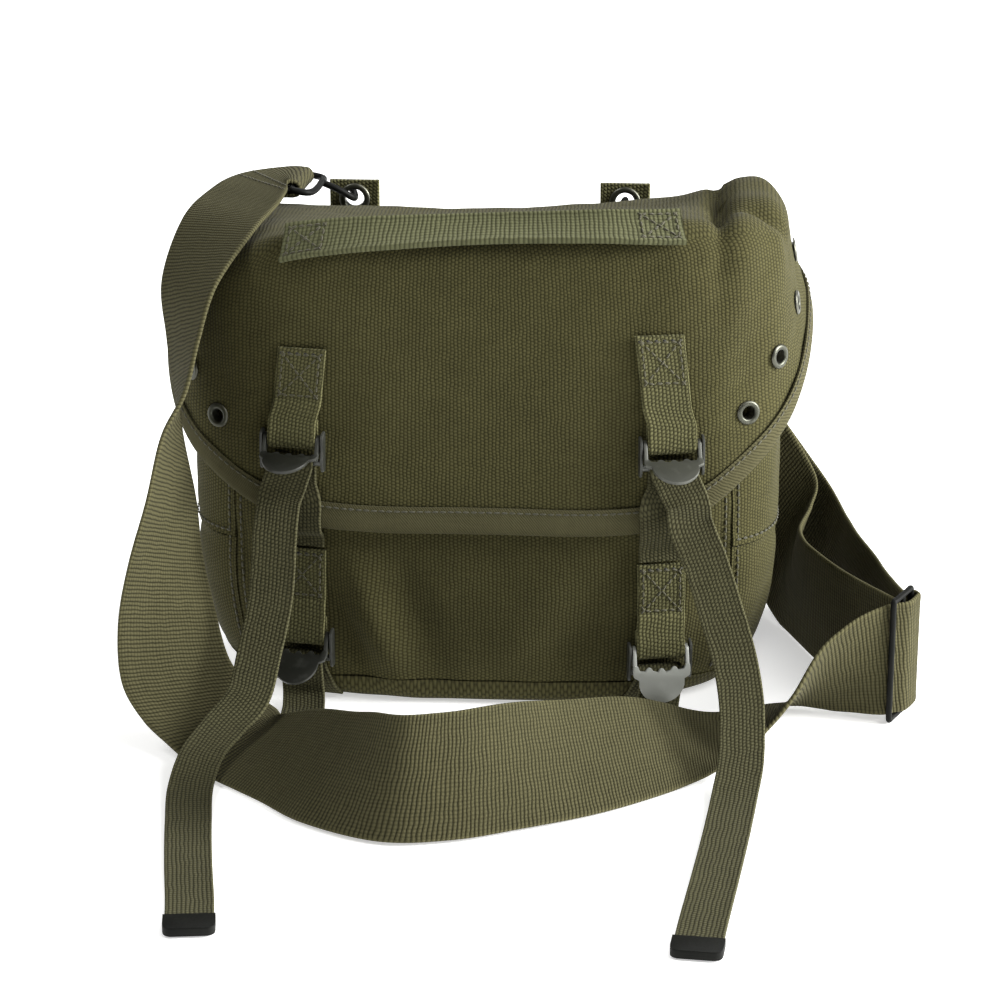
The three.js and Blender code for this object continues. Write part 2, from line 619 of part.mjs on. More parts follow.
// The flap's middle between its own grid points, so that what is riveted on sits on the flat fields
function onFlap(s, z, off = 0) {
  const right = Math.max(flapStops.findIndex((stop) => stop > Math.abs(s)), 1);
  const s0 = flapStops[right - 1];
  const u = (Math.abs(s) - s0) / (flapStops[right] - s0);
  const column = (i) => (s < 0 ? (flapStops.length - i) % flapStops.length : i);
  const w = (shoulderZ(s) - z) / (shoulderZ(s) - hemZ(s) - BINDING);
  const row = RINGS.findIndex((ring) => ring.w !== undefined && ring.w > w);
  const v = (w - RINGS[row - 1].w) / (RINGS[row].w - RINGS[row - 1].w);
  const level = (r) => flapGrid[r][column(right - 1)].clone().lerp(flapGrid[r][column(right)], u);
  return level(row - 1).lerp(level(row), v).addScaledVector(wallNormal(s, z), off);
}
let flapSolid = toSolid(sheet(flapGrid, FLAP, { ring: true, pole: true }));
const EYELET_HOLE = 3.8;
const eyeletPlaces = [];
for (const [side, name] of [[1, 'right'], [-1, 'left']]) {
  EYELETS.forEach((e, i) => {
    const place = frameOn(onFlap, side * e.s, e[name]);
    eyeletPlaces.push({ name: `flap_eyelet_${name}_${i + 1}`, place });
    const drill = new THREE.CylinderGeometry(EYELET_HOLE, EYELET_HOLE, 11, 8);
    drill.rotateX(Math.PI / 2);
    flapSolid = flapSolid.subtract(toSolid(drill, place));
  });
}
add('flap', fromSolid(flapSolid), canvas());

// Tape folded over the flap's edge: height above the edge and distance off the flap's middle
const FOLD = [
  { up: BINDING, off: -1 }, { up: 0.2, off: -1 }, { up: -1.6, off: 0 }, { up: 0.2, off: 1 },
  { up: BINDING, off: 1 },
];
const tapeOff = FLAP / 2 + GAP + 0.3 + TAPE / 2;
const bindingGrid = FOLD.map((f) => flapStops.map((s) => besideEdge(s, f.up, f.off * tapeOff)));
add('flap_binding', sheet(bindingGrid, TAPE, { ring: true }), tape());

// Eyelets: a rolled ring outside, a barrel through the cloth and a smaller ring inside
function eyelet(hole, barrel, outer, inner, front, back) {
  const profile = [
    [hole, -back - 0.6], [hole, front + 0.6], [outer - 0.9, front + 0.9], [outer, front], [barrel, front],
    [barrel, -back], [inner, -back], [hole, -back - 0.6],
  ];
  const g = new THREE.LatheGeometry(profile.map(([r, h]) => new THREE.Vector2(r, h)), 8);
  g.rotateX(Math.PI / 2);
  return fromSolid(toSolid(g));
}
for (const { name, place } of eyeletPlaces) {
  add(name, eyelet(2.75, 3.35, 5.2, 4.5, FLAP / 2 + GAP + 0.25, FLAP / 2 + 1.4), metal(), place);
}

// Carrying handle along the rounded front edge of the top, ends sewn down, middle a little raised
const HANDLE_FROM = -88;
const HANDLE_TO = 91;
const HANDLE_WIDTH = 16.8;
const HANDLE = 2.2;
const handleMiddle = [];
const handleAcross = [];
for (let i = 0; i <= 22; i += 1) {
  const s = HANDLE_FROM + (HANDLE_TO - HANDLE_FROM) * i / 22;
  const u = s / HANDLE_TO;
  const q = 0.63 - 0.039 * u - 0.026 * u * u;
  const lo = flapPoint(s, { q: q + 0.18 });
  const hi = flapPoint(s, { q: q - 0.38 });
  const p = flapPoint(s, { q });
  const slope = hi.clone().sub(lo);
  const up = slope.setX(slope.x * 0.15).normalize();
  const out = v3(1, 0, 0).cross(up).normalize();
  const raised = 1.6 * rise01(Math.min(s - HANDLE_FROM, HANDLE_TO - s) / 40);
  const curved = 2.0;
  handleMiddle.push(p.addScaledVector(out, FLAP / 2 + HANDLE / 2 + curved + raised));
  handleAcross.push(up);
}
add('carry_handle', strap(handleMiddle, handleAcross, HANDLE_WIDTH, HANDLE), webbing());

// Chape: down the cloth, out and round the buckle's upper bar, and back up behind
function wrapRows(fromAngle, toAngle, steps, y0) {
  const rows = [];
  for (let i = 0; i <= steps; i += 1) {
    const a = THREE.MathUtils.degToRad(fromAngle + (toAngle - fromAngle) * i / steps);
    rows.push({ y: y0 + WRAP * Math.sin(a), n: BAR_OUT + WRAP * Math.cos(a) });
  }
  return rows;
}

function chapeRows(length) {
  return [
    { y: length, n: GAP + WEB / 2 + 0.2 },
    { y: length - 12, n: GAP + WEB / 2 + 0.2 },
    { y: length - 22, n: GAP + WEB / 2 + 0.25 },
    { y: 15, n: 2.2 },
    { y: 9, n: 3.9 },
    { y: 4, n: 5.7 },
    ...wrapRows(20, -180, 6, 0),
    { y: 4, n: 1.45 },
    { y: 9, n: 1.3 },
  ];
}

function webOn(surface, s, z, rows, steps, shift = 0) {
  const place = frameOn(surface, s + shift, z);
  const x = v3(1, 0, 0).transformDirection(place);
  const points = rows.map((r) => {
    if (r.y <= 11) return v3(0, r.y, r.n).applyMatrix4(place);
    return surface(s + shift * (1 - r.y / rows[0].y), z + r.y, r.n);
  });
  const curve = new THREE.CatmullRomCurve3(points, false, 'centripetal');
  const middle = curve.getPoints(steps);
  return strap(middle, middle.map(() => x), WEB_WIDTH, WEB);
}

// Buckle frame: two cheeks and two bars
function buckleFrame() {
  const cheek = new THREE.Shape();
  cheek.moveTo(4.4, 2.2);
  cheek.lineTo(3.2, 6.4);
  cheek.lineTo(-7, 6.8);
  cheek.lineTo(-12.6, 5.6);
  cheek.lineTo(-12.6, 2.0);
  cheek.lineTo(0, 1.6);
  cheek.closePath();
  const cheeks = [12.4, -13.6].map((x0) => {
    const g = new THREE.ExtrudeGeometry(cheek, { depth: 1.2, bevelEnabled: false });
    g.applyMatrix4(new THREE.Matrix4().makeBasis(v3(0, 1, 0), v3(0, 0, 1), v3(1, 0, 0)));
    g.translate(x0, 0, 0);
    return g;
  });
  const bars = [0, -BAR_STEP].map((y) => bar([-13, y, BAR_OUT], [13, y, BAR_OUT], BAR, 8));
  return joined([...cheeks, ...bars]);
}

// Lever: two arms hung on the chape bar, a toothed edge with ears, and a rounded thumb piece
const LEVER_OUT = 8.6;
const LEVER_DOWN = 5.2; // edge of the lever below the chape bar
function buckleLever(lean) {
  const plate = new THREE.Shape();
  plate.moveTo(-12, -7.4);
  plate.lineTo(-12, -11.4);
  plate.lineTo(-9.4, -12.4);
  plate.absarc(0, -13.2, 9.65, Math.PI * 1.07, Math.PI * 1.93, false);
  plate.lineTo(9.4, -12.4);
  plate.lineTo(12, -11.4);
  plate.lineTo(12, -7.4);
  for (const x of [6, 0, -6]) {
    plate.lineTo(x + 1.5, -7.4);
    plate.lineTo(x, -5.6);
    plate.lineTo(x - 1.5, -7.4);
  }
  plate.closePath();
  const face = new THREE.ExtrudeGeometry(plate, { depth: 1.4, bevelEnabled: false, curveSegments: 5 });
  face.translate(0, 7.4, 0);
  face.rotateX(-THREE.MathUtils.degToRad(lean));
  face.translate(0, -LEVER_DOWN, LEVER_OUT);
  const side = new THREE.Shape();
  side.absarc(0, BAR_OUT, 3.0, Math.PI * 1.34, Math.PI * 2.34, false);
  side.lineTo(-LEVER_DOWN - 0.6, LEVER_OUT + 1.0);
  side.lineTo(-LEVER_DOWN - 1.8, LEVER_OUT);
  side.closePath();
  const eye = new THREE.Path();
  eye.absarc(0, BAR_OUT, BAR + 0.4, 0, Math.PI * 2, true);
  side.holes.push(eye);
  const arms = [10.5, -12.0].map((x0) => {
    const g = new THREE.ExtrudeGeometry(side, { depth: 1.5, bevelEnabled: false, curveSegments: 3 });
    g.applyMatrix4(new THREE.Matrix4().makeBasis(v3(0, 1, 0), v3(0, 0, 1), v3(1, 0, 0)));
    g.translate(x0, 0, 0);
    return g;
  });
  return joined([face, ...arms]);
}

const flapFace = (s, z, off = 0) => flapWall(s, z, FLAP / 2 + off);
const UPPER_BAR = { left: 119.6, right: 119.8 };
const LOWER_BAR = { left: 31.5, right: 28 };
const UPPER_TOP = { left: 159, right: 167 };
const LOWER_TOP = { left: 70, right: 66 };
const UPPER_LEAN = { left: 84, right: 77 };
const UPPER_SHIFT = { left: -3, right: 4 };
const LOWER_LEAN = { left: 58, right: 10 };
const BOTTOM_REACH = { left: -86, right: -82.5 };

for (const [side, name] of [[1, 'right'], [-1, 'left']]) {
  const s = side * CHAPE_X;
  const upper = UPPER_BAR[name];
  const lower = LOWER_BAR[name];
  const shift = UPPER_SHIFT[name];
  const upperPlace = frameOn(flapFace, s + shift, upper);
  const lowerPlace = frameOn(wall, s, lower);
  add(`upper_chape_${name}`, webOn(flapFace, s, upper, chapeRows(UPPER_TOP[name] - upper), 21, shift), webbing());
  add(`lower_chape_${name}`, webOn(wall, s, lower, chapeRows(LOWER_TOP[name] - lower), 21), webbing());
  add(`upper_frame_${name}`, buckleFrame(), metal(), upperPlace);
  add(`upper_lever_${name}`, buckleLever(UPPER_LEAN[name]), metal(), upperPlace);
  add(`lower_frame_${name}`, buckleFrame(), metal(), lowerPlace);
  add(`lower_lever_${name}`, buckleLever(LOWER_LEAN[name]), metal(), lowerPlace);

  // Closure strap: sewn under the flap's edge, up over the edge, round the strap bar and down as a free end
  const hem = hemZ(s);
  const flapOut = flapOff(s, hem) + FLAP / 2;
  const strapBar = upper - BAR_STEP;
  const lie = GAP + WEB / 2 + 0.2;
  const climb = [
    wall(s, LOWER_TOP[name] + 1.4, lie),
    wall(s, LOWER_TOP[name] + 6, lie + 0.4),
    wall(s, hem - 4.2, flapOut + 1.4),
    wall(s, hem + 1, flapOut + TAPE + 1.75),
    wall(s, hem + 8, flapOut + TAPE + 1.75),
    flapFace(s + shift * 0.7, strapBar - 12, 1.9),
    v3(0, -BAR_STEP - 5, 1.6).applyMatrix4(upperPlace),
  ];
  const over = wrapRows(180, 0, 6, -BAR_STEP).map((r) => v3(0, r.y, r.n).applyMatrix4(upperPlace));
  const leave = [
    v3(0.4, -BAR_STEP - 7, BAR_OUT + WRAP + 0.1).applyMatrix4(upperPlace),
    v3(side > 0 ? 3.4 : 0.4, -BAR_STEP - 16, BAR_OUT + WRAP + 0.5).applyMatrix4(upperPlace),
  ];
  const tail = (side > 0 ? TAIL_RIGHT : TAIL_LEFT).map((r) => v3(r.x, r.y, r.z));
  const curve = new THREE.CatmullRomCurve3([...climb, ...over, ...leave, ...tail], false, 'centripetal');
  const steps = 52;
  const middle = curve.getPoints(steps);
  const across = middle.map((p, i) => {
    const along = middle[Math.min(i + 1, steps)].clone().sub(middle[Math.max(i - 1, 0)]).normalize();
    const onCloth = p.z > hem - 6 ? frameOn(flapFace, s, Math.max(p.z, hem + 2)) : frameOn(wall, s, p.z);
    const free = rise01((p.distanceTo(bareWall(s, Math.max(p.z, 1))) - 14) / 12);
    const way = v3(1, 0, 0).transformDirection(onCloth).lerp(v3(1, 0, 0), free);
    return way.addScaledVector(along, -way.dot(along)).normalize();
  });
  add(`closure_strap_${name}`, strap(middle, across, STRAP_WIDTH, WEB), webbing());

  // Metal end folded over the strap's tip
  const end = middle[steps];
  const along = end.clone().sub(middle[steps - 1]).normalize();
  const wide = across[steps];
  const up = wide.clone().cross(along).normalize();
  const tip = new THREE.Shape();
  tip.moveTo(-9.6, -8);
  tip.lineTo(9.6, -8);
  tip.lineTo(9.3, 2.4);
  tip.lineTo(7.4, 4.4);
  tip.lineTo(-7.4, 4.4);
  tip.lineTo(-9.3, 2.4);
  tip.closePath();
  const clip = toSolid(new THREE.ExtrudeGeometry(tip, { depth: 3.6, bevelEnabled: false }).translate(0, 0, -1.8));
  const slot = toSolid(new THREE.BoxGeometry(24, 10, WEB + 0.8).translate(0, -4.4, 0));
  const place = new THREE.Matrix4().makeBasis(wide, along, up).setPosition(end);
  add(`strap_tip_${name}`, fromSolid(clip.subtract(slot)), metal(), place);

  // Bottom strap: from under the base, up behind the lever, round the bar and down to the table
  const floorX = bareWall(s, lower).x;
  const under = [
    wall(s, 3.4, lie), wall(s, 7, lie), wall(s, 11, lie + 0.1),
    v3(0, -BAR_STEP - 4, 1.5).applyMatrix4(lowerPlace),
  ];
  const back = wrapRows(180, 0, 6, -BAR_STEP).map((r) => v3(0, r.y, r.n).applyMatrix4(lowerPlace));
  const far = BOTTOM_REACH[name];
  const down = [
    v3(0, -BAR_STEP - 6, BAR_OUT + WRAP).applyMatrix4(lowerPlace),
    v3(0, 6.2 - lower, 4.8).applyMatrix4(lowerPlace),
    v3(floorX, far + 16, 2.0), v3(floorX, far + 10, 1.3), v3(floorX, far, 1.3),
  ];
  const lane = new THREE.CatmullRomCurve3([...under, ...back, ...down], false, 'centripetal').getPoints(24);
  const laneX = v3(1, 0, 0).transformDirection(lowerPlace);
  add(`bottom_strap_${name}`, strap(lane, lane.map(() => laneX), STRAP_WIDTH, WEB), webbing());
}

// Tabs on the back's upper edge
const TAB = { left: -63, right: 56.6, y: 67, low: 145, high: 195.5, hole: 187.5, width: 22, thick: 2.6 };
for (const name of ['right', 'left']) {
  const x = TAB[name];
  const outline = new THREE.Shape();
  outline.moveTo(-TAB.width / 2, TAB.low - TAB.hole);
  outline.lineTo(TAB.width / 2, TAB.low - TAB.hole);
  outline.lineTo(TAB.width / 2, TAB.high - TAB.hole - 2);
  outline.lineTo(TAB.width / 2 - 2, TAB.high - TAB.hole);
  outline.lineTo(-TAB.width / 2 + 2, TAB.high - TAB.hole);
  outline.lineTo(-TAB.width / 2, TAB.high - TAB.hole - 2);
  outline.closePath();
  const hole = new THREE.Path();
  hole.absarc(0, 0, 5.2, 0, Math.PI * 2, true);
  outline.holes.push(hole);
  const place = new THREE.Matrix4().makeBasis(v3(1, 0, 0), v3(0, 0, 1), v3(0, -1, 0)).setPosition(x, TAB.y, TAB.hole);
  const body = new THREE.ExtrudeGeometry(outline, { depth: TAB.thick, bevelEnabled: false, curveSegments: 8 });
  body.translate(0, 0, -TAB.thick / 2);
  add(`back_tab_${name}`, fromSolid(toSolid(body)), webbing(), place);
  add(`tab_eyelet_${name}`, eyelet(4.2, 4.85, 6.9, 6.4, TAB.thick / 2 + GAP, TAB.thick / 2 + GAP), metal(), place);
}

// Wire hooks of the shoulder strap: a bar in the strap's end, two legs and a bent tip through the tab's eyelet
const WIRE = 1.5;
function hook(barA, barB, kneeA, kneeB, apex, tipPath) {
  const curve = new THREE.CatmullRomCurve3(tipPath.map((p) => v3(...p)), false, 'centripetal');
  const round = new THREE.Shape();
  round.absarc(0, 0, WIRE, 0, Math.PI * 2, false);
  const tip = new THREE.ExtrudeGeometry(round, { extrudePath: curve, steps: 8, curveSegments: 3 });
  const a = v3(...barA);
  const b = v3(...barB);
  const straight = [0.06, 0.5, 0.94].map((u) => a.clone().lerp(b, u));
  const loop = new THREE.CatmullRomCurve3([a, ...straight, b, v3(...kneeB), v3(...apex), v3(...kneeA)], true, 'centripetal');
  return joined([new THREE.TubeGeometry(loop, 28, WIRE, 6, true), tip]);
}
add('hook_left', hook([-86.5, 28, 201.5], [-86.5, 84, 193.1], [-80, 28.4, 200.3], [-80, 83.6, 192], [-77, 60, 196.2],
  [[-77, 60, 196.2], [-70, 60, 193.2], [-64, 62.4, 189], [-63, 67, 187.5], [-64, 71.4, 189.1], [-68, 73, 192.5]]),
metal());
add('hook_right', hook([26.1, 75, 169.5], [82.1, 75, 169.5], [26.6, 74.5, 175.5], [81.6, 74.5, 175.5], [54.6, 73, 182.5],
  [[54.6, 73, 182.5], [55.6, 72.6, 184.9], [56.6, 70.4, 187.1], [56.6, 67, 187.5], [56.6, 63.4, 187.3],
    [56.6, 61.6, 189.5]]),
metal());

// Slider
const bars = [0, 1, 2].map((i) => {
  const x = SLIDER.x + SLIDER.dx * SLIDER.pitch * i;
  const y = SLIDER.y + SLIDER.dy * SLIDER.pitch * i;
  return bar([x, y, SLIDER.low], [x, y, SLIDER.high], SLIDER.bar, 8);
});
const rails = [SLIDER.low, SLIDER.high].map((z) => bar(
  [SLIDER.x - SLIDER.dx, SLIDER.y - SLIDER.dy, z],
  [SLIDER.x + SLIDER.dx * (2 * SLIDER.pitch + 1), SLIDER.y + SLIDER.dy * (2 * SLIDER.pitch + 1), z],
  SLIDER.bar,
  8,
));
add('strap_slider', joined([...bars, ...rails]), metal());

// Shoulder strap
const shoulderRows = rowsAlong(SHOULDER_ROWS, 124);
const shoulderAcross = shoulderRows.map((r) => v3(r.wx, r.wy, r.wz).normalize());
const shoulderMiddle = shoulderRows.map((r, i) => {
  const reach = SHOULDER_WIDTH / 2 * Math.abs(shoulderAcross[i].z) + SHOULDER / 2 + 0.4;
  return v3(r.x, r.y, Math.max(r.z, reach));
});
add('shoulder_strap', strap(shoulderMiddle, shoulderAcross, SHOULDER_WIDTH, SHOULDER), webbing());

export default pack;
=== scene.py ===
# %% [markdown]
# # A canvas field pack, dressed around its solids
#
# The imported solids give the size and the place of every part. This script reads them as a fixed frame and
# puts finer cloth, webbing, thread and metal on the same lines. All lengths in the tables are millimetres,
# as on a maker's drawing, and one factor turns them into Blender's metres.

# %% The frame
import json
import math

import bmesh
import bpy
import numpy as np
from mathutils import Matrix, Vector

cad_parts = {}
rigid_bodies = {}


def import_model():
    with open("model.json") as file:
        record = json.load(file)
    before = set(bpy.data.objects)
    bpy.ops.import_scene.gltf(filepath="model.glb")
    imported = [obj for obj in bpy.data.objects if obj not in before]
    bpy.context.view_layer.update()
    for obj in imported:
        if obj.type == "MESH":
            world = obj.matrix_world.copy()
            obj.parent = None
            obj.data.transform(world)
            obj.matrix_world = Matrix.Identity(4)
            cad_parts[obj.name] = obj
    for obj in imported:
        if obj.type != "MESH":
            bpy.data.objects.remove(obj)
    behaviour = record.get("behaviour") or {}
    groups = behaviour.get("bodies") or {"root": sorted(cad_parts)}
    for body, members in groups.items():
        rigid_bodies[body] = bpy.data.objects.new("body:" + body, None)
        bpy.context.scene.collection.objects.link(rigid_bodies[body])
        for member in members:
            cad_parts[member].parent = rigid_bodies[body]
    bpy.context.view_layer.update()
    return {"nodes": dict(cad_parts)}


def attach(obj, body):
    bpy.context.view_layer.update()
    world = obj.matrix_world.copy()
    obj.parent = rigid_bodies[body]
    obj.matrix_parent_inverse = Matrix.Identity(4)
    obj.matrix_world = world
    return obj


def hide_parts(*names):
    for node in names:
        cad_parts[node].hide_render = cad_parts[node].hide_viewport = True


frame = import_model()
MM = 0.001
print("solids in the frame:", len(frame["nodes"]))

# %% [markdown]
# ## Camera
#
# The picture was taken from a little to the right and about 21 degrees above the table, with a long lens,
# so the sides hardly converge. A camera is placed by going back from a point in the middle of the object.

# %% Camera
AZIMUTH, ELEVATION, DISTANCE = 3.0, 21.0, 1400.0
AIM = Vector((8.0, -60.0, 94.0)) * MM
SENSOR, LENS, FAR_CLIP = 36.0, 120.96, 50.0
turn, tilt = math.radians(AZIMUTH), math.radians(ELEVATION)
back = Vector((math.sin(turn) * math.cos(tilt), -math.cos(turn) * math.cos(tilt), math.sin(tilt)))
camera = bpy.data.objects.new("camera", bpy.data.cameras.new("camera"))
camera.data.sensor_width = SENSOR
camera.data.lens = LENS
camera.data.clip_end = FAR_CLIP
camera.location = AIM + back * DISTANCE * MM
camera.rotation_euler = (-back).to_track_quat("-Z", "Y").to_euler()
bpy.context.scene.collection.objects.link(camera)
bpy.context.scene.camera = camera
bpy.context.scene.view_settings.view_transform = "Standard"
print("camera at", [round(x, 3) for x in camera.location])

# %% [markdown]
# ## Colour and nodes
#
# Colours are written as the sRGB hex values that one reads off a swatch. Blender's shaders work in linear
# light, so one function converts them. Another small function adds a node, sets it and links it.

# %% Colour and node helpers
def swatch(code):
    channels = [int(code[i:i + 2], 16) / 255 for i in (1, 3, 5)]
    linear = [c / 12.92 if c <= 0.04045 else ((c + 0.055) / 1.055) ** 2.4 for c in channels]
    return (*linear, 1.0)


def add_node(tree, kind, sockets=None, **settings):
    made = tree.nodes.new(kind)
    for name, value in settings.items():
        setattr(made, name, value)
    for name, value in (sockets or {}).items():
        if isinstance(value, bpy.types.NodeSocket):
            tree.links.new(value, made.inputs[name])
        else:
            made.inputs[name].default_value = value
    return made


def new_finish(name):
    finish = bpy.data.materials.new(name)
    finish.use_nodes = True
    finish.node_tree.nodes.clear()
    return finish, finish.node_tree


print("a middle grey in linear light is", round(swatch("#808080")[0], 3))

# %% [markdown]
# ## Cloth finishes
#
# Cotton duck is a tight plain weave: every thread goes over one and under the next, so the cloth is a field
# of small bumps about as wide as a thread. Webbing is woven narrow and thick, and its long warp threads show
# as grains or ribs. The threads could be modelled one by one, but a pattern of two crossed waves gives the
# same look at no cost in faces. It reads the piece's own UV map, which is laid out in metres, so a thread
# keeps its width on every piece. Real threads are well under a millimetre wide, too fine to show in the
# render, so the cells are drawn 1.1 to 1.9 mm wide, about four pixels.

# %% A woven finish
SWAY_SCALE, SWAY = 130.0, 1.5  # rows bend within this many mm, because no loom is perfectly even
SLUB_SCALE = (900.0, 70.0, 1.0)  # uneven threads: fine across and long along
CROSS_SCALE = (70.0, 900.0, 1.0)
STREAK, WEAR_SCALE, WEAR = 0.22, 14.0, 0.24  # share of the uneven threads, and of slow fading by use
TONE = 0.6  # tone of the highest threads before streaks and wear are added
SELVEDGE, SELVEDGE_LIGHT = 0.8, 0.28  # width in mm of the rubbed edge of webbing, and how much lighter it is
THREAD_HEIGHT, STREAK_RELIEF = 0.6, 0.6
CREST_POWER = 0.8  # below 1 the threads are broad and the gaps between them narrow
ROUGHEST, CREST_POLISH = 0.96, -0.12  # the gaps are dull, and the rubbed crests a little less so


def cloth_finish(name, dark, light, pitch, relief, depth, stagger=0.0, slant=0.0, ribs=0.0, beads=0.0,
                 edge=None, fuzz=0.02):
    """A woven finish: thread pitch across and along in mm, and how the rows are shifted or slanted.

    ribs and beads say how little the pattern varies across and along, and edge is the half width in mm
    where the rubbed selvedge of webbing starts.
    """
    finish, tree = new_finish(name)
    uv = add_node(tree, "ShaderNodeUVMap", uv_map="cloth").outputs["UV"]
    noise = add_node(tree, "ShaderNodeTexNoise", {"Vector": uv, "Scale": SWAY_SCALE, "Detail": 2.0})
    sway = add_node(tree, "ShaderNodeVectorMath", {0: noise.outputs["Color"], 1: (0.5, 0.5, 0.5)},
                    operation="SUBTRACT")
    place = add_node(tree, "ShaderNodeVectorMath", {0: sway.outputs[0], 1: (SWAY * MM,) * 3, 2: uv},
                     operation="MULTIPLY_ADD")
    split = add_node(tree, "ShaderNodeSeparateXYZ", {0: place.outputs[0]}).outputs
    across, along = (
        add_node(tree, "ShaderNodeMath", {0: split[axis], 1: size * MM}, operation="DIVIDE").outputs[0]
        for axis, size in zip("XY", pitch))
    column = add_node(tree, "ShaderNodeMath", {0: across}, operation="FLOOR").outputs[0]
    odd = add_node(tree, "ShaderNodeMath", {0: column, 1: 2.0}, operation="MODULO").outputs[0]
    for count, share in ((across, slant), (odd, stagger)):
        along = add_node(tree, "ShaderNodeMath", {0: count, 1: share, 2: along},
                         operation="MULTIPLY_ADD").outputs[0]
    waves = []
    for count, level in ((across, ribs), (along, beads)):
        phase = add_node(tree, "ShaderNodeMath", {0: count, 1: math.pi}, operation="MULTIPLY").outputs[0]
        wave = add_node(tree, "ShaderNodeMath", {0: phase}, operation="SINE").outputs[0]
        bump = add_node(tree, "ShaderNodeMath", {0: wave}, operation="ABSOLUTE").outputs[0]
        waves.append(add_node(tree, "ShaderNodeMath", {0: bump, 1: 1.0 - level, 2: level},
                              operation="MULTIPLY_ADD").outputs[0])
    crossed = add_node(tree, "ShaderNodeMath", {0: waves[0], 1: waves[1]}, operation="MULTIPLY").outputs[0]
    crest = add_node(tree, "ShaderNodeMath", {0: crossed, 1: CREST_POWER}, operation="POWER").outputs[0]
    uneven = []
    for scale in (SLUB_SCALE, CROSS_SCALE):
        stretched = add_node(tree, "ShaderNodeMapping", {"Vector": uv, "Scale": scale}).outputs[0]
        noise = add_node(tree, "ShaderNodeTexNoise", {"Vector": stretched, "Scale": 1.0, "Detail": 2.0})
        uneven.append(noise.outputs[0])
    streaks = add_node(tree, "ShaderNodeMath", {0: uneven[0], 1: uneven[1]}).outputs[0]
    spot = add_node(tree, "ShaderNodeTexCoord").outputs["Object"]
    wear = add_node(tree, "ShaderNodeTexNoise", {"Vector": spot, "Scale": WEAR_SCALE, "Detail": 4.0,
                                                 "Roughness": 0.6}).outputs[0]
    # the colour follows the weave's height: the gaps between threads fall to the dark swatch, painted shade
    # in the hollows of the weave, and the crests rise to the light one
    tone = TONE - depth
    for part, share in ((crest, depth), (streaks, STREAK), (wear, WEAR)):
        tone = add_node(tree, "ShaderNodeMath", {0: part, 1: share, 2: tone},
                        operation="MULTIPLY_ADD").outputs[0]
    if edge:
        aside = add_node(tree, "ShaderNodeMath", {0: split["X"]}, operation="ABSOLUTE").outputs[0]
        rim = add_node(tree, "ShaderNodeMapRange", {
            "Value": aside, "From Min": edge * MM, "From Max": (edge + SELVEDGE) * MM,
            "To Max": SELVEDGE_LIGHT})
        tone = add_node(tree, "ShaderNodeMath", {0: tone, 1: rim.outputs[0]}).outputs[0]
    colour = add_node(tree, "ShaderNodeMix", {"Factor": tone, 6: swatch(dark), 7: swatch(light)},
                      data_type="RGBA")
    height = add_node(tree, "ShaderNodeMath", {0: streaks, 1: STREAK * STREAK_RELIEF, 2: crest},
                      operation="MULTIPLY_ADD").outputs[0]
    bump = add_node(tree, "ShaderNodeBump", {"Strength": relief, "Distance": THREAD_HEIGHT * MM,
                                             "Height": height})
    rough = add_node(tree, "ShaderNodeMath", {0: crest, 1: CREST_POLISH, 2: ROUGHEST},
                     operation="MULTIPLY_ADD")
    cloth = add_node(tree, "ShaderNodeBsdfPrincipled", {
        "Base Color": colour.outputs[2], "Roughness": rough.outputs[0], "Normal": bump.outputs[0],
        "Sheen Weight": fuzz, "Sheen Roughness": 0.45, "Specular IOR Level": 0.06})
    add_node(tree, "ShaderNodeOutputMaterial", {"Surface": cloth.outputs[0]})
    return finish


print("rows of thread bend within", SWAY, "mm")

# %% The six cloths
# each cloth's first swatch is the near-black painted shade in the gaps of its weave, and the second is the
# colour of its threads
# plain-woven duck: a dull field of small round bumps, with a little fuzz
CANVAS = cloth_finish("cotton_duck", "#0c0b05", "#504d30", (1.6, 1.5), 0.5, 0.85, stagger=0.5, ribs=0.25,
                      beads=0.25, fuzz=0.05)
# twilled binding tape: fine slanting lines
TAPE = cloth_finish("herringbone_tape", "#100f08", "#514e37", (1.1, 1.4), 0.4, 0.8, slant=1.0, ribs=1.0,
                    beads=0.3)
# narrow cotton webbing: slanting staggered grains and rubbed, lighter edges
WEB = cloth_finish("closure_webbing", "#0e0e08", "#53513a", (1.6, 1.6), 0.7, 0.85, stagger=0.5, slant=0.3,
                   ribs=0.2, beads=0.2, edge=8.7)
# the same webbing in a lighter tone, for the chapes; on the back tabs it is painted light that lifts them out
# of the shade under the top
LIGHTER_WEB = cloth_finish("lighter_webbing", "#0f0f09", "#646243", (1.6, 1.6), 0.8, 0.85, stagger=0.5, slant=0.3,
                         ribs=0.2, beads=0.2, edge=9.6)
# wide webbing: fine ribs straight across it
WIDE_WEB = cloth_finish("shoulder_webbing", "#0a0a05", "#535038", (1.5, 1.7), 0.8, 0.9, slant=0.12, ribs=0.6,
                        beads=0.12, edge=23.6)
# the handle's webbing: greener and coarser, worn smooth by hands
HANDLE_WEB = cloth_finish("handle_webbing", "#0e100a", "#66674b", (1.6, 1.9), 0.8, 0.9, ribs=0.6, beads=0.3)
print("cloth finishes:", [m.name for m in (CANVAS, TAPE, WEB, LIGHTER_WEB, WIDE_WEB, HANDLE_WEB)])

# %% [markdown]
# ## Thread and metal
#
# The seams are sewn with a waxed cotton thread close to the colour of the cloth. The buckles are steel with a
# dark phosphate finish, which is a fine grey-black grain that wears bright on the edges. The eyelets are
# brass that was blackened and has rubbed through on the rolled rim. Wear could be painted by hand, but here
# it is found from how sharply the surface bends, so it lands on every edge by itself.

# %% A thread and a worn metal
TWIST_SCALE, GRAIN_SCALE, RUB_SCALE = 900.0, 1400.0, 160.0  # noise cells in a metre
SHARP_FROM, SHARP_TO = 0.52, 0.62  # how bent an edge is where wear starts, and where it is complete
SPOT_FROM, SPOT_TO, SPOT_LIGHT = 0.58, 0.75, 0.18
ROUGH_RANGE, GRAIN_HEIGHT = 0.24, 0.1


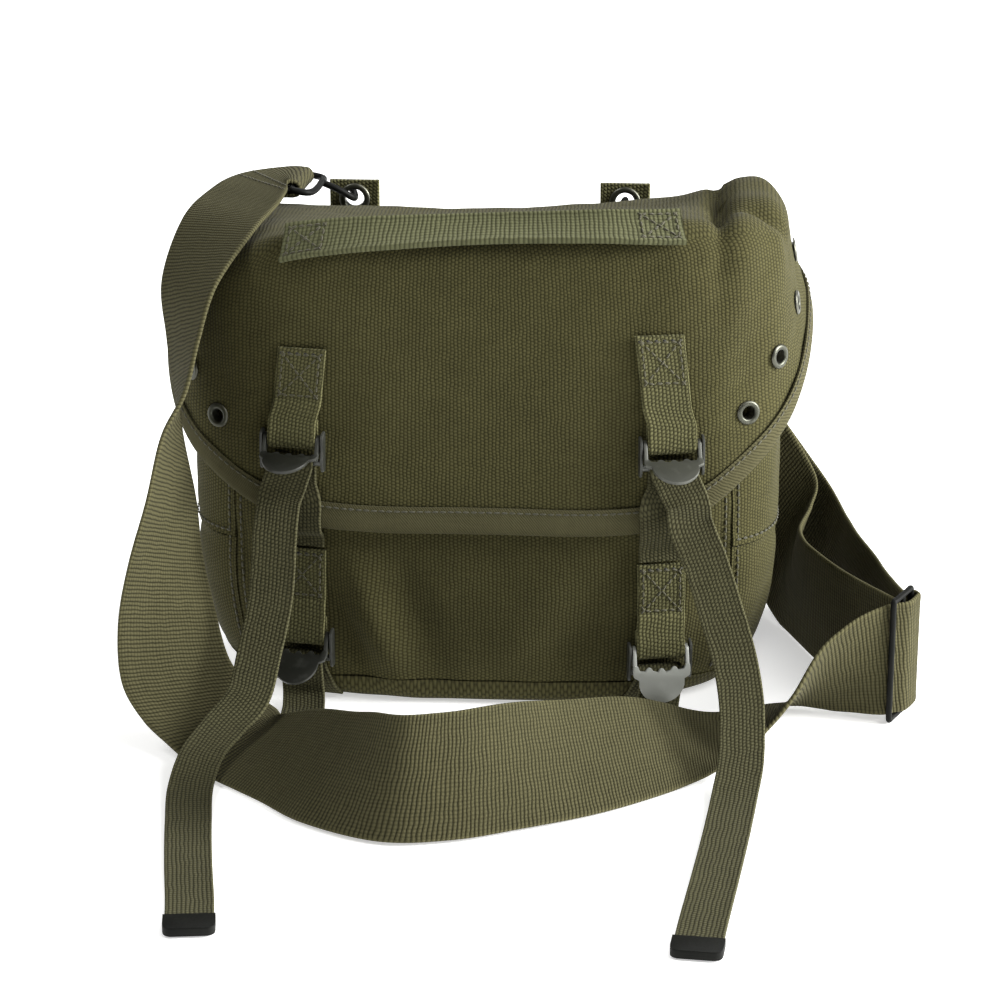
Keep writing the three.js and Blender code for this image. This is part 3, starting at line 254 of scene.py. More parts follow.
def thread_finish(name, dark, light):
    finish, tree = new_finish(name)
    place = add_node(tree, "ShaderNodeTexCoord").outputs["Object"]
    twist = add_node(tree, "ShaderNodeTexNoise", {"Vector": place, "Scale": TWIST_SCALE, "Detail": 2.0})
    colour = add_node(tree, "ShaderNodeMix", {"Factor": twist.outputs[0], 6: swatch(dark), 7: swatch(light)},
                      data_type="RGBA")
    shader = add_node(tree, "ShaderNodeBsdfPrincipled", {"Base Color": colour.outputs[2], "Roughness": 0.8,
                                                         "Sheen Weight": 0.2})
    add_node(tree, "ShaderNodeOutputMaterial", {"Surface": shader.outputs[0]})
    return finish


def metal_finish(name, dark, bright, metallic, rough, wear, shine=0.5):
    finish, tree = new_finish(name)
    place = add_node(tree, "ShaderNodeTexCoord").outputs["Object"]
    grain, rub = (
        add_node(tree, "ShaderNodeTexNoise", {"Vector": place, "Scale": scale, "Detail": fine}).outputs[0]
        for scale, fine in ((GRAIN_SCALE, 3.0), (RUB_SCALE, 4.0)))
    sharp = add_node(tree, "ShaderNodeNewGeometry").outputs["Pointiness"]
    edge = add_node(tree, "ShaderNodeMapRange", {"Value": sharp, "From Min": SHARP_FROM,
                                                 "From Max": SHARP_TO})
    rubbed = add_node(tree, "ShaderNodeMath", {0: edge.outputs[0], 1: rub}, operation="MULTIPLY").outputs[0]
    spots = add_node(tree, "ShaderNodeMapRange", {"Value": rub, "From Min": SPOT_FROM, "From Max": SPOT_TO,
                                                  "To Max": SPOT_LIGHT * wear}).outputs[0]
    worn = add_node(tree, "ShaderNodeMath", {0: rubbed, 1: wear, 2: spots}, operation="MULTIPLY_ADD")
    colour = add_node(tree, "ShaderNodeMix", {"Factor": worn.outputs[0], 6: swatch(dark), 7: swatch(bright)},
                      data_type="RGBA")
    rougher = add_node(tree, "ShaderNodeMath", {0: grain, 1: ROUGH_RANGE, 2: rough - ROUGH_RANGE / 2},
                       operation="MULTIPLY_ADD")
    bump = add_node(tree, "ShaderNodeBump", {"Strength": 0.12, "Distance": GRAIN_HEIGHT * MM,
                                             "Height": grain})
    shader = add_node(tree, "ShaderNodeBsdfPrincipled", {
        "Base Color": colour.outputs[2], "Metallic": metallic, "Roughness": rougher.outputs[0],
        "Normal": bump.outputs[0], "Specular IOR Level": shine})
    add_node(tree, "ShaderNodeOutputMaterial", {"Surface": shader.outputs[0]})
    return finish


print("wear starts at a bend of", SHARP_FROM, "and is complete at", SHARP_TO)

# %% The threads and the metals
# thread: dull, with a slight change of tone along its twist
THREAD = thread_finish("waxed_thread", "#2b2a1e", "#4c4a34")
WEB_THREAD = thread_finish("webbing_thread", "#2a2819", "#4f4c32")
# needle holes: nearly black dashes of painted shade inside the holes, so that they look pierced
NEEDLE_HOLE_SHADE = thread_finish("needle_holes", "#0b0a06", "#12110a")
# steel: dark phosphate, and two lighter copies of it that paint the reflection of the bright surroundings on
# the levers that face them, so the buckles go from black to bright
DARK_STEEL = metal_finish("phosphated_steel", "#20211c", "#6d6e68", 0.25, 0.42, 0.8)
HALF_REFLECTION_STEEL = metal_finish("steel_painted_half_reflection", "#474841", "#9a9b93", 0.35, 0.4, 0.8)
FULL_REFLECTION_STEEL = metal_finish("steel_painted_full_reflection", "#9fa19a", "#c4c5bf", 0.3, 0.4, 0.8)
# brass: a grey-black bloom with a pale rim
BRASS = metal_finish("blackened_brass", "#43443b", "#a09e90", 0.8, 0.38, 1.0)
# lacquer: a thick black coat with little shine
PAINTED = metal_finish("black_lacquered_steel", "#070806", "#2c2d28", 0.0, 0.55, 0.5, 0.12)
print("thread and metal finishes made")

# %% [markdown]
# ## The lines of the filled body
#
# A filled bag has no straight edges, so it is drawn by level sections: at each height a rounded box with its
# half width, front and back. A place on the wall is then two numbers, s along the wall from the front middle
# and z above the table. The solids use the same tables, so cloth drawn from them lies where they are.

# %% Sections of the body
# height, half width, front, back, squareness
SECTIONS = np.array([
    (0, 94, -52, 47, 2.9), (1, 100, -56, 51.5, 2.9), (4, 107, -59, 55, 3.0), (12, 114.5, -61.5, 57.5, 3.1),
    (28, 120.5, -62.5, 58, 3.2), (50, 124.5, -62, 58.5, 3.3), (80, 125.5, -60, 58.5, 3.3),
    (115, 125.5, -58.5, 58, 3.3), (150, 125.5, -57.5, 57, 3.4), (180, 123.5, -56.5, 55.5, 3.5),
    (215, 119, -54, 53, 3.5),
], float)
# s, height, depth inward, reach along, reach up, slant
FOLDS = np.array([
    (-57, 30, 2.4, 8, 24, -0.35), (-42, 36, -2.0, 7, 30, -0.35), (-27, 44, 2.0, 8, 28, -0.35),
    (34, 34, 1.6, 14, 16, -0.3), (96, 40, 1.8, 9, 24, 0.15), (-98, 40, 1.8, 9, 24, -0.15),
    (176, 69, 2.2, 44, 5, 0), (-176, 69, 2.2, 44, 5, 0), (110, 150, 1.6, 8, 30, 0.2),
    (-112, 150, 1.6, 8, 30, -0.2),
], float)
print("sections:", len(SECTIONS), "and folds:", len(FOLDS))

# %% Smooth tables
def smooth_rows(table, at):
    """Rows of a table at any places along its first column, through a smooth curve."""
    key = table[:, 0]
    last = len(key) - 1
    at = np.asarray(at, float)
    i = np.clip(np.searchsorted(key[1:], at, side="left"), 0, last - 1)
    before, after = np.maximum(i - 1, 0), np.minimum(i + 2, last)
    span = key[i + 1] - key[i]
    u = np.clip((at - key[i]) / span, 0, 1)[..., None]
    a, b = table[i], table[i + 1]
    m0 = (b - table[before]) * (span / (key[i + 1] - key[before]))[..., None]
    m1 = (table[after] - a) * (span / (key[after] - key[i]))[..., None]
    u2, u3 = u ** 2, u ** 3
    return (2 * u3 - 3 * u2 + 1) * a + (u3 - 2 * u2 + u) * m0 + (3 * u2 - 2 * u3) * b + (u3 - u2) * m1


def bell(x, wide):
    return np.exp(-(x / wide) ** 2)


def rise01(t):
    t = np.clip(t, 0, 1)
    return t * t * (3 - 2 * t)


def unit(v):
    return v / np.maximum(np.linalg.norm(v, axis=-1, keepdims=True), 1e-12)


def run_length(points):
    """Distance along a line of points, from its start to each of them."""
    return np.concatenate([[0.0], np.cumsum(np.linalg.norm(np.diff(points, axis=0), axis=1))])


print("half width at 100 mm up:", round(float(smooth_rows(SECTIONS, 100.0)[1]), 1), "mm")

# %% Wall of the body
GIRTH_LEVEL = 110.0  # s is measured along the section at this height
NUDGE = 0.6  # small step that gives a direction along the cloth


def section_point(phi, z):
    phi, z = np.broadcast_arrays(np.asarray(phi, float), np.asarray(z, float))
    row = smooth_rows(SECTIONS, z)
    half, front, rear, power = (row[..., i] for i in range(1, 5))
    deep = (rear - front) / 2
    r = ((np.abs(np.cos(phi)) / half) ** power + (np.abs(np.sin(phi)) / deep) ** power) ** (-1 / power)
    return np.stack([r * np.cos(phi), (front + rear) / 2 + r * np.sin(phi), z], -1)


PHI_TABLE = np.linspace(-math.pi / 2, math.pi / 2, 721)
S_TABLE = run_length(section_point(PHI_TABLE, GIRTH_LEVEL))
HALF_ROUND = S_TABLE[-1]


def direction_at(s):
    d = np.asarray(s, float)
    d = np.where(d > HALF_ROUND, d - 2 * HALF_ROUND, d)
    d = np.where(d < -HALF_ROUND, d + 2 * HALF_ROUND, d)
    phi = np.interp(np.abs(d), S_TABLE, PHI_TABLE)
    return np.where(d < 0, -math.pi - phi, phi)


def fold_depth(table, s, z):
    """How far the folds of a table press the cloth in at a place."""
    return sum(depth * bell(s - at - slant * (z - up), wide) * bell(z - up, high)
               for at, up, depth, wide, high, slant in table)


def bare_wall(s, z):
    s, z = np.broadcast_arrays(np.asarray(s, float), np.asarray(z, float))
    p = section_point(direction_at(s), z)
    return p - unit(p * (1, 1, 0)) * fold_depth(FOLDS, s, z)[..., None]


def wall_normal(s, z):
    s, z = np.broadcast_arrays(np.asarray(s, float), np.asarray(z, float))
    along = bare_wall(s + NUDGE, z) - bare_wall(s - NUDGE, z)
    up = bare_wall(s, z + NUDGE) - bare_wall(s, np.maximum(z - NUDGE, 0))
    return unit(np.cross(along, up))


def wall(s, z, off=0.0):
    off = np.asarray(off, float)
    return bare_wall(s, z) + wall_normal(s, z) * off[..., None]


print(f"half way round the body is {HALF_ROUND:.1f} mm")

# %% [markdown]
# ## The lines of the flap
#
# The flap is one sheet: it covers the top, hangs down the front and ends in a wing on each side. It could
# be draped by a simulation, but its edge has to meet the picture, so it is drawn. Its lower edge is a table
# along the wall, and its top is a sloping plane with a few soft hills and hollows.

# %% Edge and top of the flap
FLAP_THICK, TAPE_THICK, GAP, FLAP_OFF = 2.0, 0.8, 0.3, 3.3
TOP_LEVEL, TOP_FALL, TOP_LIFT = 200.0, 0.16, 0.035
TOP_ROUND, SHOULDER_LEVEL = 16.0, 180.0
RIGHT_SHARPER, RIGHT_AT, RIGHT_REACH = 6.0, 170.0, 45.0  # the rounding is tighter at the right corner
# how far the edge stands off, its s on either side, reach along and reach up
FLARES = ((3.0, 166, 44, 62), (4.5, 172, 34, 26), (1.2, 0, 90, 26))
# s, height, and how much higher it hangs on the right and lower on the left
HEM = np.array([
    (0, 82, 0), (64, 82.5, 0), (90, 89.5, 0.6), (100, 95, 1.5), (110, 102, 2.5), (120, 110, 3.5),
    (130, 119.5, 4), (140, 130, 4), (147, 136.5, 3.6), (160, 146, 3), (173, 153.5, 2.4), (190, 161, 1.6),
    (205, 165, 1), (225, 166.5, 0.4), (250, 164.5, 0), (280, 162.5, 0), (348, 160, 0),
], float)
# x, y, rise, reach across, reach in depth
TOP_FORMS = np.array([
    (0, 40, -4, 70, 45), (109, 24, 11, 23, 24), (97, 6, -5.5, 3.6, 36), (116, -16, -4, 13, 7),
    (123, 42, 4, 5, 9), (-106, 26, 2, 24, 26), (-118, -50, -12, 26, 28), (-30, 0, -2, 30, 30),
], float)
print("places on the edge:", len(HEM), "and hills and hollows:", len(TOP_FORMS))

# %% Height and rounding of the flap
def hem_z(s):
    row = smooth_rows(HEM, np.minimum(np.abs(s), HALF_ROUND))
    return row[..., 1] + np.sign(s) * row[..., 2]


def flap_off(s, z):
    up, t = z - hem_z(s), np.abs(s)
    return FLAP_OFF + sum(out * bell(t - at, wide) * rise01(1 - up / tall) for out, at, wide, tall in FLARES)


def top_z(x, y):
    z = TOP_LEVEL - TOP_FALL * y + TOP_LIFT * x
    return z + sum(rise * bell(x - at_x, wide) * bell(y - at_y, deep)
                   for at_x, at_y, rise, wide, deep in TOP_FORMS)


def round_at(s):
    return TOP_ROUND - RIGHT_SHARPER * bell(s - RIGHT_AT, RIGHT_REACH)


def shoulder_z(s):
    e = wall(s, np.full(np.shape(s), SHOULDER_LEVEL), np.full(np.shape(s), FLAP_OFF))
    return top_z(e[..., 0], e[..., 1]) - round_at(s)


print("flap's shoulder in front:", round(float(shoulder_z(0.0)), 1), "mm up")

# %% Places on the flap
def flap_wall(s, z, off=0.0):
    s, z = np.broadcast_arrays(np.asarray(s, float), np.asarray(z, float))
    return wall(s, z, flap_off(s, z) + off)


def flap_face(s, z, off=0.0):
    return flap_wall(s, z, FLAP_THICK / 2 + np.asarray(off, float))


def beside_edge(s, up, off):
    """Place and outward direction beside the flap's edge: height above it and distance off the flap."""
    def at(ds, du):
        return flap_wall(s + ds, hem_z(s + ds) + up + du)
    out = unit(np.cross(at(NUDGE, 0) - at(-NUDGE, 0), at(0, NUDGE) - at(0, -NUDGE)))
    return at(0, 0) + out * off, out


def flap_ring(s, kind, share):
    """Middle of the flap all along s, on the flat top, the rounded edge or the wall."""
    shoulder = shoulder_z(s)
    if kind == "wall":
        return flap_wall(s, shoulder + (hem_z(s) - shoulder) * share)
    e = flap_wall(s, shoulder)
    flat = 1 - round_at(s) / np.hypot(e[..., 0], e[..., 1])
    k = share * flat if kind == "top" else flat + share * (1 - flat)
    x, y = e[..., 0] * k, e[..., 1] * k
    drop = round_at(s) * (1 - math.sqrt(1 - share * share)) if kind == "edge" else 0.0
    return np.stack([x, y, top_z(x, y) - drop], -1)


print("middle of the hem in front:", flap_face(0.0, hem_z(0.0)).round(1), "mm")

# %% Standing places
def place_from(x, y, out, at):
    """A place as a 4x4: its own x, y and outward direction, and where it is."""
    place = np.eye(4)
    place[:3] = np.stack([x, y, out, at], -1)
    return place


def frame_on(surface, s, z):
    """Place on a wall: x along it, y up it, z straight out."""
    s, z, step = float(s), float(z), 0.8
    x = unit(surface(s + step, z) - surface(s - step, z))
    out = unit(np.cross(x, surface(s, z + step) - surface(s, z - step)))
    return place_from(x, np.cross(out, x), out, surface(s, z))


def put(place, points):
    return np.asarray(points, float) @ place[:3, :3].T + place[:3, 3]


print("straight out of the front:", frame_on(wall, 0, 100)[:3, 2].round(2))

# %% [markdown]
# ## Curves
#
# Straps are drawn as a middle line and a direction across it. The line is a centripetal Catmull-Rom curve,
# which goes through every given point without loops between close ones. A Blender curve with handles would
# need its handles set by hand at every point.

# %% Curve through points
def curve_through(points, steps, closed=False):
    pts = np.asarray(points, float)
    count = len(pts)
    out = []
    for k in range(steps + (0 if closed else 1)):
        at = (count if closed else count - 1) * k / steps
        i = int(at)
        w = at - i
        if not closed and i >= count - 1:
            i, w = count - 2, 1.0
        p1, p2 = pts[i % count], pts[(i + 1) % count]
        p0 = pts[(i - 1) % count] if closed or i > 0 else 2 * pts[0] - pts[1]
        p3 = pts[(i + 2) % count] if closed or i + 2 < count else 2 * pts[-1] - pts[-2]
        d0, d1, d2 = (max(np.linalg.norm(b - a), 1e-8) ** 0.5 for a, b in ((p0, p1), (p1, p2), (p2, p3)))
        t1 = ((p1 - p0) / d0 - (p2 - p0) / (d0 + d1) + (p2 - p1) / d1) * d1
        t2 = ((p2 - p1) / d1 - (p3 - p1) / (d1 + d2) + (p3 - p2) / d2) * d1
        out.append(p1 + t1 * w + (3 * (p2 - p1) - 2 * t1 - t2) * w ** 2 + (2 * (p1 - p2) + t1 + t2) * w ** 3)
    return np.array(out)


print("points of a curve in 8 steps:", len(curve_through([(0, 0, 0), (1, 1, 0), (2, 0, 0)], 8)))

# %% [markdown]
# ## From points to pieces
#
# Cloth and webbing are grids of points with a thickness.

# %% Mesh makers
def make_piece(name, points, faces, finish, uv=None, smooth_angle=55.0):
    """An object from points in mm; uv is one (u, v) in mm for each point, or one for each face corner."""
    mesh = bpy.data.meshes.new(name)
    mesh.from_pydata((np.asarray(points) * MM).tolist(), [], faces)
    if uv is not None:
        loops = np.empty(len(mesh.loops), np.int32)
        mesh.loops.foreach_get("vertex_index", loops)
        corner = np.asarray(uv, float) if len(uv) == len(loops) else np.asarray(uv, float)[loops]
        mesh.uv_layers.new(name="cloth").data.foreach_set("uv", (corner * MM).astype(np.float32).ravel())
    work = bmesh.new()
    work.from_mesh(mesh)
    bmesh.ops.remove_doubles(work, verts=work.verts, dist=1e-7)
    if work.calc_volume(signed=True) < 0:
        bmesh.ops.reverse_faces(work, faces=work.faces)
    work.to_mesh(mesh)
    work.free()
    mesh.materials.append(finish)
    mesh.shade_smooth()
    mesh.set_sharp_from_angle(angle=math.radians(smooth_angle))
    made = bpy.data.objects.new(name, mesh)
    bpy.context.scene.collection.objects.link(made)
    return made


def sew_on(made, slot, *nodes):
    """Hangs a finished piece on the root body and hides the solids it stands for."""
    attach(made, "root")
    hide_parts(*nodes)
    return made


# %% Sheets
def grid_faces(rows, cols, ring=False, start=0):
    r, c = np.meshgrid(np.arange(rows - 1), np.arange(cols if ring else cols - 1), indexing="ij")
    n = (c + 1) % cols
    quads = np.stack([r * cols + c, r * cols + n, (r + 1) * cols + n, (r + 1) * cols + c], -1).reshape(-1, 4)
    return (quads + start).tolist()


def grid_normals(grid, ring=False):
    if ring:
        wide = np.concatenate([grid[:, -1:], grid, grid[:, :1]], 1)
    else:
        wide = np.pad(grid, ((0, 0), (1, 1), (0, 0)), "edge")
    tall = np.pad(grid, ((1, 1), (0, 0), (0, 0)), "edge")
    return unit(np.cross(wide[:, 2:] - wide[:, :-2], tall[2:] - tall[:-2]))


def sheet_points(grid, thickness, ring=False, pole=False):
    """Both faces of a sheet and its rim; a pole closes the first row in one point."""
    rows, cols = grid.shape[:2]
    normals = grid_normals(grid, ring)
    if pole:
        normals[0] = unit(normals[1].mean(0))
    points = np.concatenate([(grid + normals * thickness / 2).reshape(-1, 3),
                             (grid - normals * thickness / 2).reshape(-1, 3)])
    under, low = rows * cols, (rows - 1) * cols
    faces = grid_faces(rows, cols, ring)
    faces += [f[::-1] for f in grid_faces(rows, cols, ring, under)]
    for c in range(cols if ring else cols - 1):
        n = (c + 1) % cols
        faces.append([low + c, low + n, under + low + n, under + low + c])
        if not pole:
            faces.append([n, c, under + c, under + n])
    for r in range(0 if ring else rows - 1):
        a, b = r * cols, (r + 1) * cols
        faces.append([a, b, under + b, under + a])
        faces.append([b + cols - 1, a + cols - 1, under + a + cols - 1, under + b + cols - 1])
    return points, faces


print("faces of a sheet of 3 x 3 points:", len(sheet_points(np.zeros((3, 3, 3)), 1.0)[1]))

# %% Webbing
def mirrored(points):
    """The other half of an outline that is the same on both sides of x = 0."""
    return [(-x, y) for x, y in reversed(points)]


# Profile of webbing: place across and height, thicker where the edge is bound in
WEB_EDGE = [(-1, 0.3), (-0.985, 0.8), (-0.95, 1.1), (-0.9, 1.15), (-0.84, 1.0), (-0.5, 0.98)]
WEB_PROFILE = np.array(WEB_EDGE + [(0, 0.97)] + mirrored(WEB_EDGE))
# The handle is folded lengthwise, so its edges are round and stand up
ROLLED_EDGE = [(-1, 0.5), (-0.985, 1.2), (-0.94, 1.6), (-0.87, 1.7), (-0.79, 1.45), (-0.7, 0.9)]
ROLLED_PROFILE = np.array(ROLLED_EDGE + [(0, 0.85)] + mirrored(ROLLED_EDGE))


def strap_piece(name, middle, across, width, thickness, finish, profile=WEB_PROFILE):
    """Webbing along a middle line, with its way across at every point."""
    across = unit(across)
    tangent = np.gradient(middle, axis=0)
    face = unit(np.cross(tangent, across))
    profile = np.concatenate([profile, WEB_PROFILE[::-1] * (1, -1)])
    side, high = profile[:, 0] * width / 2, profile[:, 1] * thickness / 2
    rings = middle[:, None] + across[:, None] * side[None, :, None] + face[:, None] * high[None, :, None]
    rows, cols = rings.shape[:2]
    faces = grid_faces(rows, cols, True)
    faces += [list(range(cols))[::-1], [(rows - 1) * cols + c for c in range(cols)]]
    along = run_length(middle)
    uv = np.stack(np.broadcast_arrays(side[None, :], along[:, None]), -1).reshape(-1, 2)
    return make_piece(name, rings.reshape(-1, 3), faces, finish, uv, 60.0)


print("points round a section of webbing:", 2 * len(WEB_PROFILE))

# %% [markdown]
# ## The shoulder strap
#
# Two-inch cotton webbing, one length: sewn round the left hook, over the top, down the left side with a half
# twist, across the table in front, through the slider, back up to the right hook and again to the slider.
# A curve object with a bevel would twist freely, so the strap is drawn row by row: a middle point and the way
# across the webbing, which is limp and flat.

# %% Route of the shoulder strap
# x, y, z of the middle line, then the way across
SHOULDER_ROWS = np.array([
    (-99, 50, 195.2, 0.1, -0.98, 0.15), (-91, 55.5, 194.3, 0.03, -0.99, 0.15),
    (-86.5, 56, 194.2, 0, -0.99, 0.15), (-84.3, 56, 195.1, 0, -0.99, 0.15),
    (-83.4, 56, 197.3, 0, -0.99, 0.15), (-84.3, 56, 199.5, 0, -0.99, 0.15),
    (-86.5, 56, 200.4, 0, -0.99, 0.15), (-91.5, 53.5, 200.9, 0.12, -0.98, 0.14),
    (-100, 35, 202.4, 0.52, -0.85, 0.1), (-105, 10, 203, 0.66, -0.74, 0.08),
    (-112, -22, 200, 0.68, -0.71, 0.1), (-120.8, -50, 183.5, 0.56, -0.8, 0.2),
    (-122.3, -62, 163.4, 0.39, -0.88, 0.26), (-122.8, -71, 143.3, 0.22, -0.93, 0.3),
    (-125.5, -79, 126, -0.02, -0.94, 0.34), (-126, -85, 101, -0.26, -0.92, 0.3),
    (-128.3, -90, 76, -0.48, -0.84, 0.24), (-128.1, -94, 52, -0.7, -0.7, 0.13),
    (-124.7, -97.5, 30, -0.81, -0.58, 0.02), (-115.5, -100.5, 16, -0.85, -0.5, -0.06),
    (-104.5, -107, 9, -0.77, -0.6, -0.1), (-91, -121, 6, -0.45, -0.86, -0.21),
    (-73, -140, 12, -0.42, -0.78, -0.46), (-54, -163.5, 18.5, -0.4, -0.58, -0.7),
    (-30, -183, 23.5, -0.1, -0.4, -0.91), (-6, -180, 23.5, 0.1, -0.4, -0.91),
    (17, -168, 22.8, 0.2, -0.45, -0.87), (45, -147, 18, 0.33, -0.65, -0.68),
    (70, -125, 12.5, 0.3, -0.82, -0.48), (97, -98, 3.6, 0.14, -0.98, -0.06),
    (111, -88, 4.2, 0.02, -0.99, 0.1), (121, -82, 7.8, 0, -0.96, 0.24), (131, -77.5, 13.2, 0, -0.88, 0.47),
    (143, -72.5, 21, 0, -0.58, 0.81), (156, -70, 26, 0, -0.28, 0.96), (169.6, -68.1, 28.4, 0, 0, 1),
    (174.5, -65.5, 28.4, 0, 0, 1), (179.4, -62.9, 28.4, 0, 0, 1), (183.5, -54.8, 28.4, 0, 0, 1),
    (183.6, -52.4, 28.4, 0, 0, 1), (182, -50.5, 28.4, 0, 0, 1), (179.6, -50.4, 28.4, 0, 0, 1),
    (177.7, -52, 28.4, 0, 0, 1), (172.4, -30, 27, 0, 0, 1), (165.5, -6, 25.6, 0.1, 0, 0.99),
    (159, 20, 25.6, 0.1, 0, 0.99), (152, 46, 26.5, 0.2, 0, 0.98), (140, 66, 34, 0.44, 0, 0.9),
    (124, 77, 50, 0.62, 0, 0.78), (109, 81, 69, 0.75, 0, 0.66), (92, 83, 96, 0.84, 0, 0.54),
    (74, 84, 127, 0.93, 0, 0.36), (60, 81.5, 156, 0.98, 0, 0.2), (54.6, 78.1, 169, 1, 0, 0.02),
    (54.1, 77.2, 171.7, 1, 0, 0), (54.1, 75, 172.6, 1, 0, 0), (54.1, 72.8, 171.7, 1, 0, 0),
    (54.1, 71.9, 169, 1, 0, 0.02), (60, 74, 156, 0.98, 0, 0.2), (73, 75, 127, 0.92, 0, 0.38),
    (91, 74, 98, 0.82, 0, 0.57), (112, 69.5, 68, 0.74, 0, 0.67), (128, 60, 44, 0.66, 0, 0.75),
    (132.5, 46, 31, 0.4, 0.05, 0.91), (134, 28, 25.8, 0.12, 0, 0.99), (138, 10, 25.6, 0, 0, 1),
    (145, -8, 25.8, 0, 0, 1), (155, -28, 26.5, 0, 0, 1), (164.5, -45, 27.5, 0, 0, 1),
    (173.7, -60.1, 28.4, 0, 0, 1),
], float)
print("rows of the shoulder strap:", len(SHOULDER_ROWS))

# %% Shoulder strap
SHOULDER_WIDTH, SHOULDER_THICK = 50.0, 1.8
STRAP_STEPS, TABLE_GAP = 700, 0.4


def rows_along(table, steps):
    numbered = np.concatenate([np.arange(len(table))[:, None], table], 1)
    return smooth_rows(numbered, np.linspace(0, len(table) - 1, steps + 1))[:, 1:]


shoulder_rows = rows_along(SHOULDER_ROWS, STRAP_STEPS)
shoulder_across = unit(shoulder_rows[:, 3:])
shoulder_middle = shoulder_rows[:, :3].copy()
lowest = SHOULDER_WIDTH / 2 * np.abs(shoulder_across[:, 2]) + SHOULDER_THICK / 2 + TABLE_GAP
shoulder_middle[:, 2] = np.maximum(shoulder_middle[:, 2], lowest)
shoulder = strap_piece("shoulder_strap_webbing", shoulder_middle, shoulder_across, SHOULDER_WIDTH,
                       SHOULDER_THICK, WIDE_WEB)

# %% [markdown]
# ## The closure straps
#
# Each closure strap is sewn to the front under the flap, climbs over the flap's edge, turns over the lower
# bar of its buckle and hangs down to the table, where its metal tip lies. Its route is a curve through points
# on the wall, round the bar, and then along the free end. The free ends are points chosen from the picture,
# because a hanging strap keeps the bends of how it was last laid, which no formula gives.

# %% Free ends, buckle places and sizes
# free end of the left strap, from under the buckle to the tip
TAIL_LEFT = np.array([
    (-84.6, -74, 85), (-86.4, -81, 57), (-90.5, -92, 36), (-94, -105, 22), (-103, -118, 14),
    (-109.5, -132, 9), (-112, -150, 3.2), (-109, -180, 1.4), (-104, -216, 1.4), (-99, -248, 1.6),
    (-96.5, -268, 2.3),
], float)
# and of the right strap
TAIL_RIGHT = np.array([
    (87.4, -73.5, 90), (93.9, -79, 75), (100.4, -86, 57), (106.5, -95, 39), (109.4, -107, 26),
    (109.8, -118, 17), (109.3, -131, 9.5), (106.8, -148, 3.4), (103, -180, 1.4),
    (98.3, -218, 1.4), (93.7, -254, 1.6), (91.3, -276, 2.3),
], float)
WEB_THICK, STRAP_WIDTH, CHAPE_WIDTH, CHAPE_X = 1.5, 18.6, 20.5, 74.0
BAR, BAR_OUT, BAR_STEP = 1.3, 4.0, 9.0  # a buckle's bars: radius, height off the cloth and spacing
WRAP = BAR + GAP + WEB_THICK / 2  # middle of webbing that goes round a bar
LIE = GAP + WEB_THICK / 2 + 0.2  # middle of webbing that lies on cloth
CLOSURE_STEPS = 416
SIDES = {"right": 1, "left": -1}
UPPER_BAR, LOWER_BAR = {"left": 119.6, "right": 119.8}, {"left": 31.5, "right": 28.0}
UPPER_TOP, LOWER_TOP = {"left": 159.0, "right": 167.0}, {"left": 70.0, "right": 66.0}
# how far each upper buckle hangs aside, and how far the strap leans where it leaves the bar
UPPER_SHIFT, LEAVE_LEAN = {"left": -3.0, "right": 4.0}, {"left": -0.32, "right": 0.42}
TAILS = {"left": TAIL_LEFT, "right": TAIL_RIGHT}
upper_place = {n: frame_on(flap_face, k * CHAPE_X + UPPER_SHIFT[n], UPPER_BAR[n]) for n, k in SIDES.items()}
lower_place = {n: frame_on(wall, k * CHAPE_X, LOWER_BAR[n]) for n, k in SIDES.items()}
print("upper bars at", UPPER_BAR, "and lower bars at", LOWER_BAR, "mm")

# %% Closure straps
FREE_FROM, FREE_OVER = 14.0, 12.0  # a strap turns free from this far off the wall, over this much more


def wrap_rows(from_angle, to_angle, y0, steps=6):
    a = np.radians(np.linspace(from_angle, to_angle, steps + 1))
    return np.stack([0 * a, y0 + WRAP * np.sin(a), BAR_OUT + WRAP * np.cos(a)], -1)


def closure_points(name):
    """The route's own points: up the body, over the hem, round the bar and down the free end."""
    s, low, place, lean = SIDES[name] * CHAPE_X, LOWER_TOP[name], upper_place[name], LEAVE_LEAN[name]
    hem = float(hem_z(s))
    out = float(flap_off(s, hem)) + FLAP_THICK / 2
    over_tape = out + TAPE_THICK + 1.75
    climb = [wall(s, z, off) for z, off in ((low + 1.4, LIE), (low + 6, LIE + 0.4), (hem - 4.2, out + 1.4),
                                            (hem + 1, over_tape), (hem + 8, over_tape))]
    climb += [flap_face(s + UPPER_SHIFT[name] * 0.7, UPPER_BAR[name] - BAR_STEP - 12, 1.9),
              put(place, (0, -BAR_STEP - 5, 1.6))]
    over = put(place, wrap_rows(180, 0, -BAR_STEP))
    leave = put(place, [(lean * down, -BAR_STEP - down, BAR_OUT + WRAP + off)
                        for down, off in ((7, 0.1), (16, 0.5))])
    return np.concatenate([climb, over, leave, TAILS[name]])


def closure_route(name):
    """Middle line and way across: along the cloth where the strap lies on it, level where it is free."""
    s = SIDES[name] * CHAPE_X
    hem = float(hem_z(s))
    middle = curve_through(closure_points(name), CLOSURE_STEPS)
    across = []
    for p, way in zip(middle, unit(np.gradient(middle, axis=0))):
        on_flap = p[2] > hem - 6
        place = frame_on(flap_face, s, max(p[2], hem + 2)) if on_flap else frame_on(wall, s, p[2])
        away = np.linalg.norm(p - bare_wall(s, max(p[2], 1.0)))
        free = rise01((away - FREE_FROM) / FREE_OVER)
        level = place[:3, 0] * (1 - free) + np.array([1.0, 0, 0]) * free
        across.append(level - way * (level @ way))
    return middle, unit(np.array(across))


closure_lines = {n: closure_route(n) for n in SIDES}
closure = {n: strap_piece(f"closure_webbing_{n}", *line, STRAP_WIDTH, WEB_THICK, WEB)
           for n, line in closure_lines.items()}
print("closure straps:", {n: round(run_length(closure_lines[n][0])[-1]) for n in SIDES}, "mm")

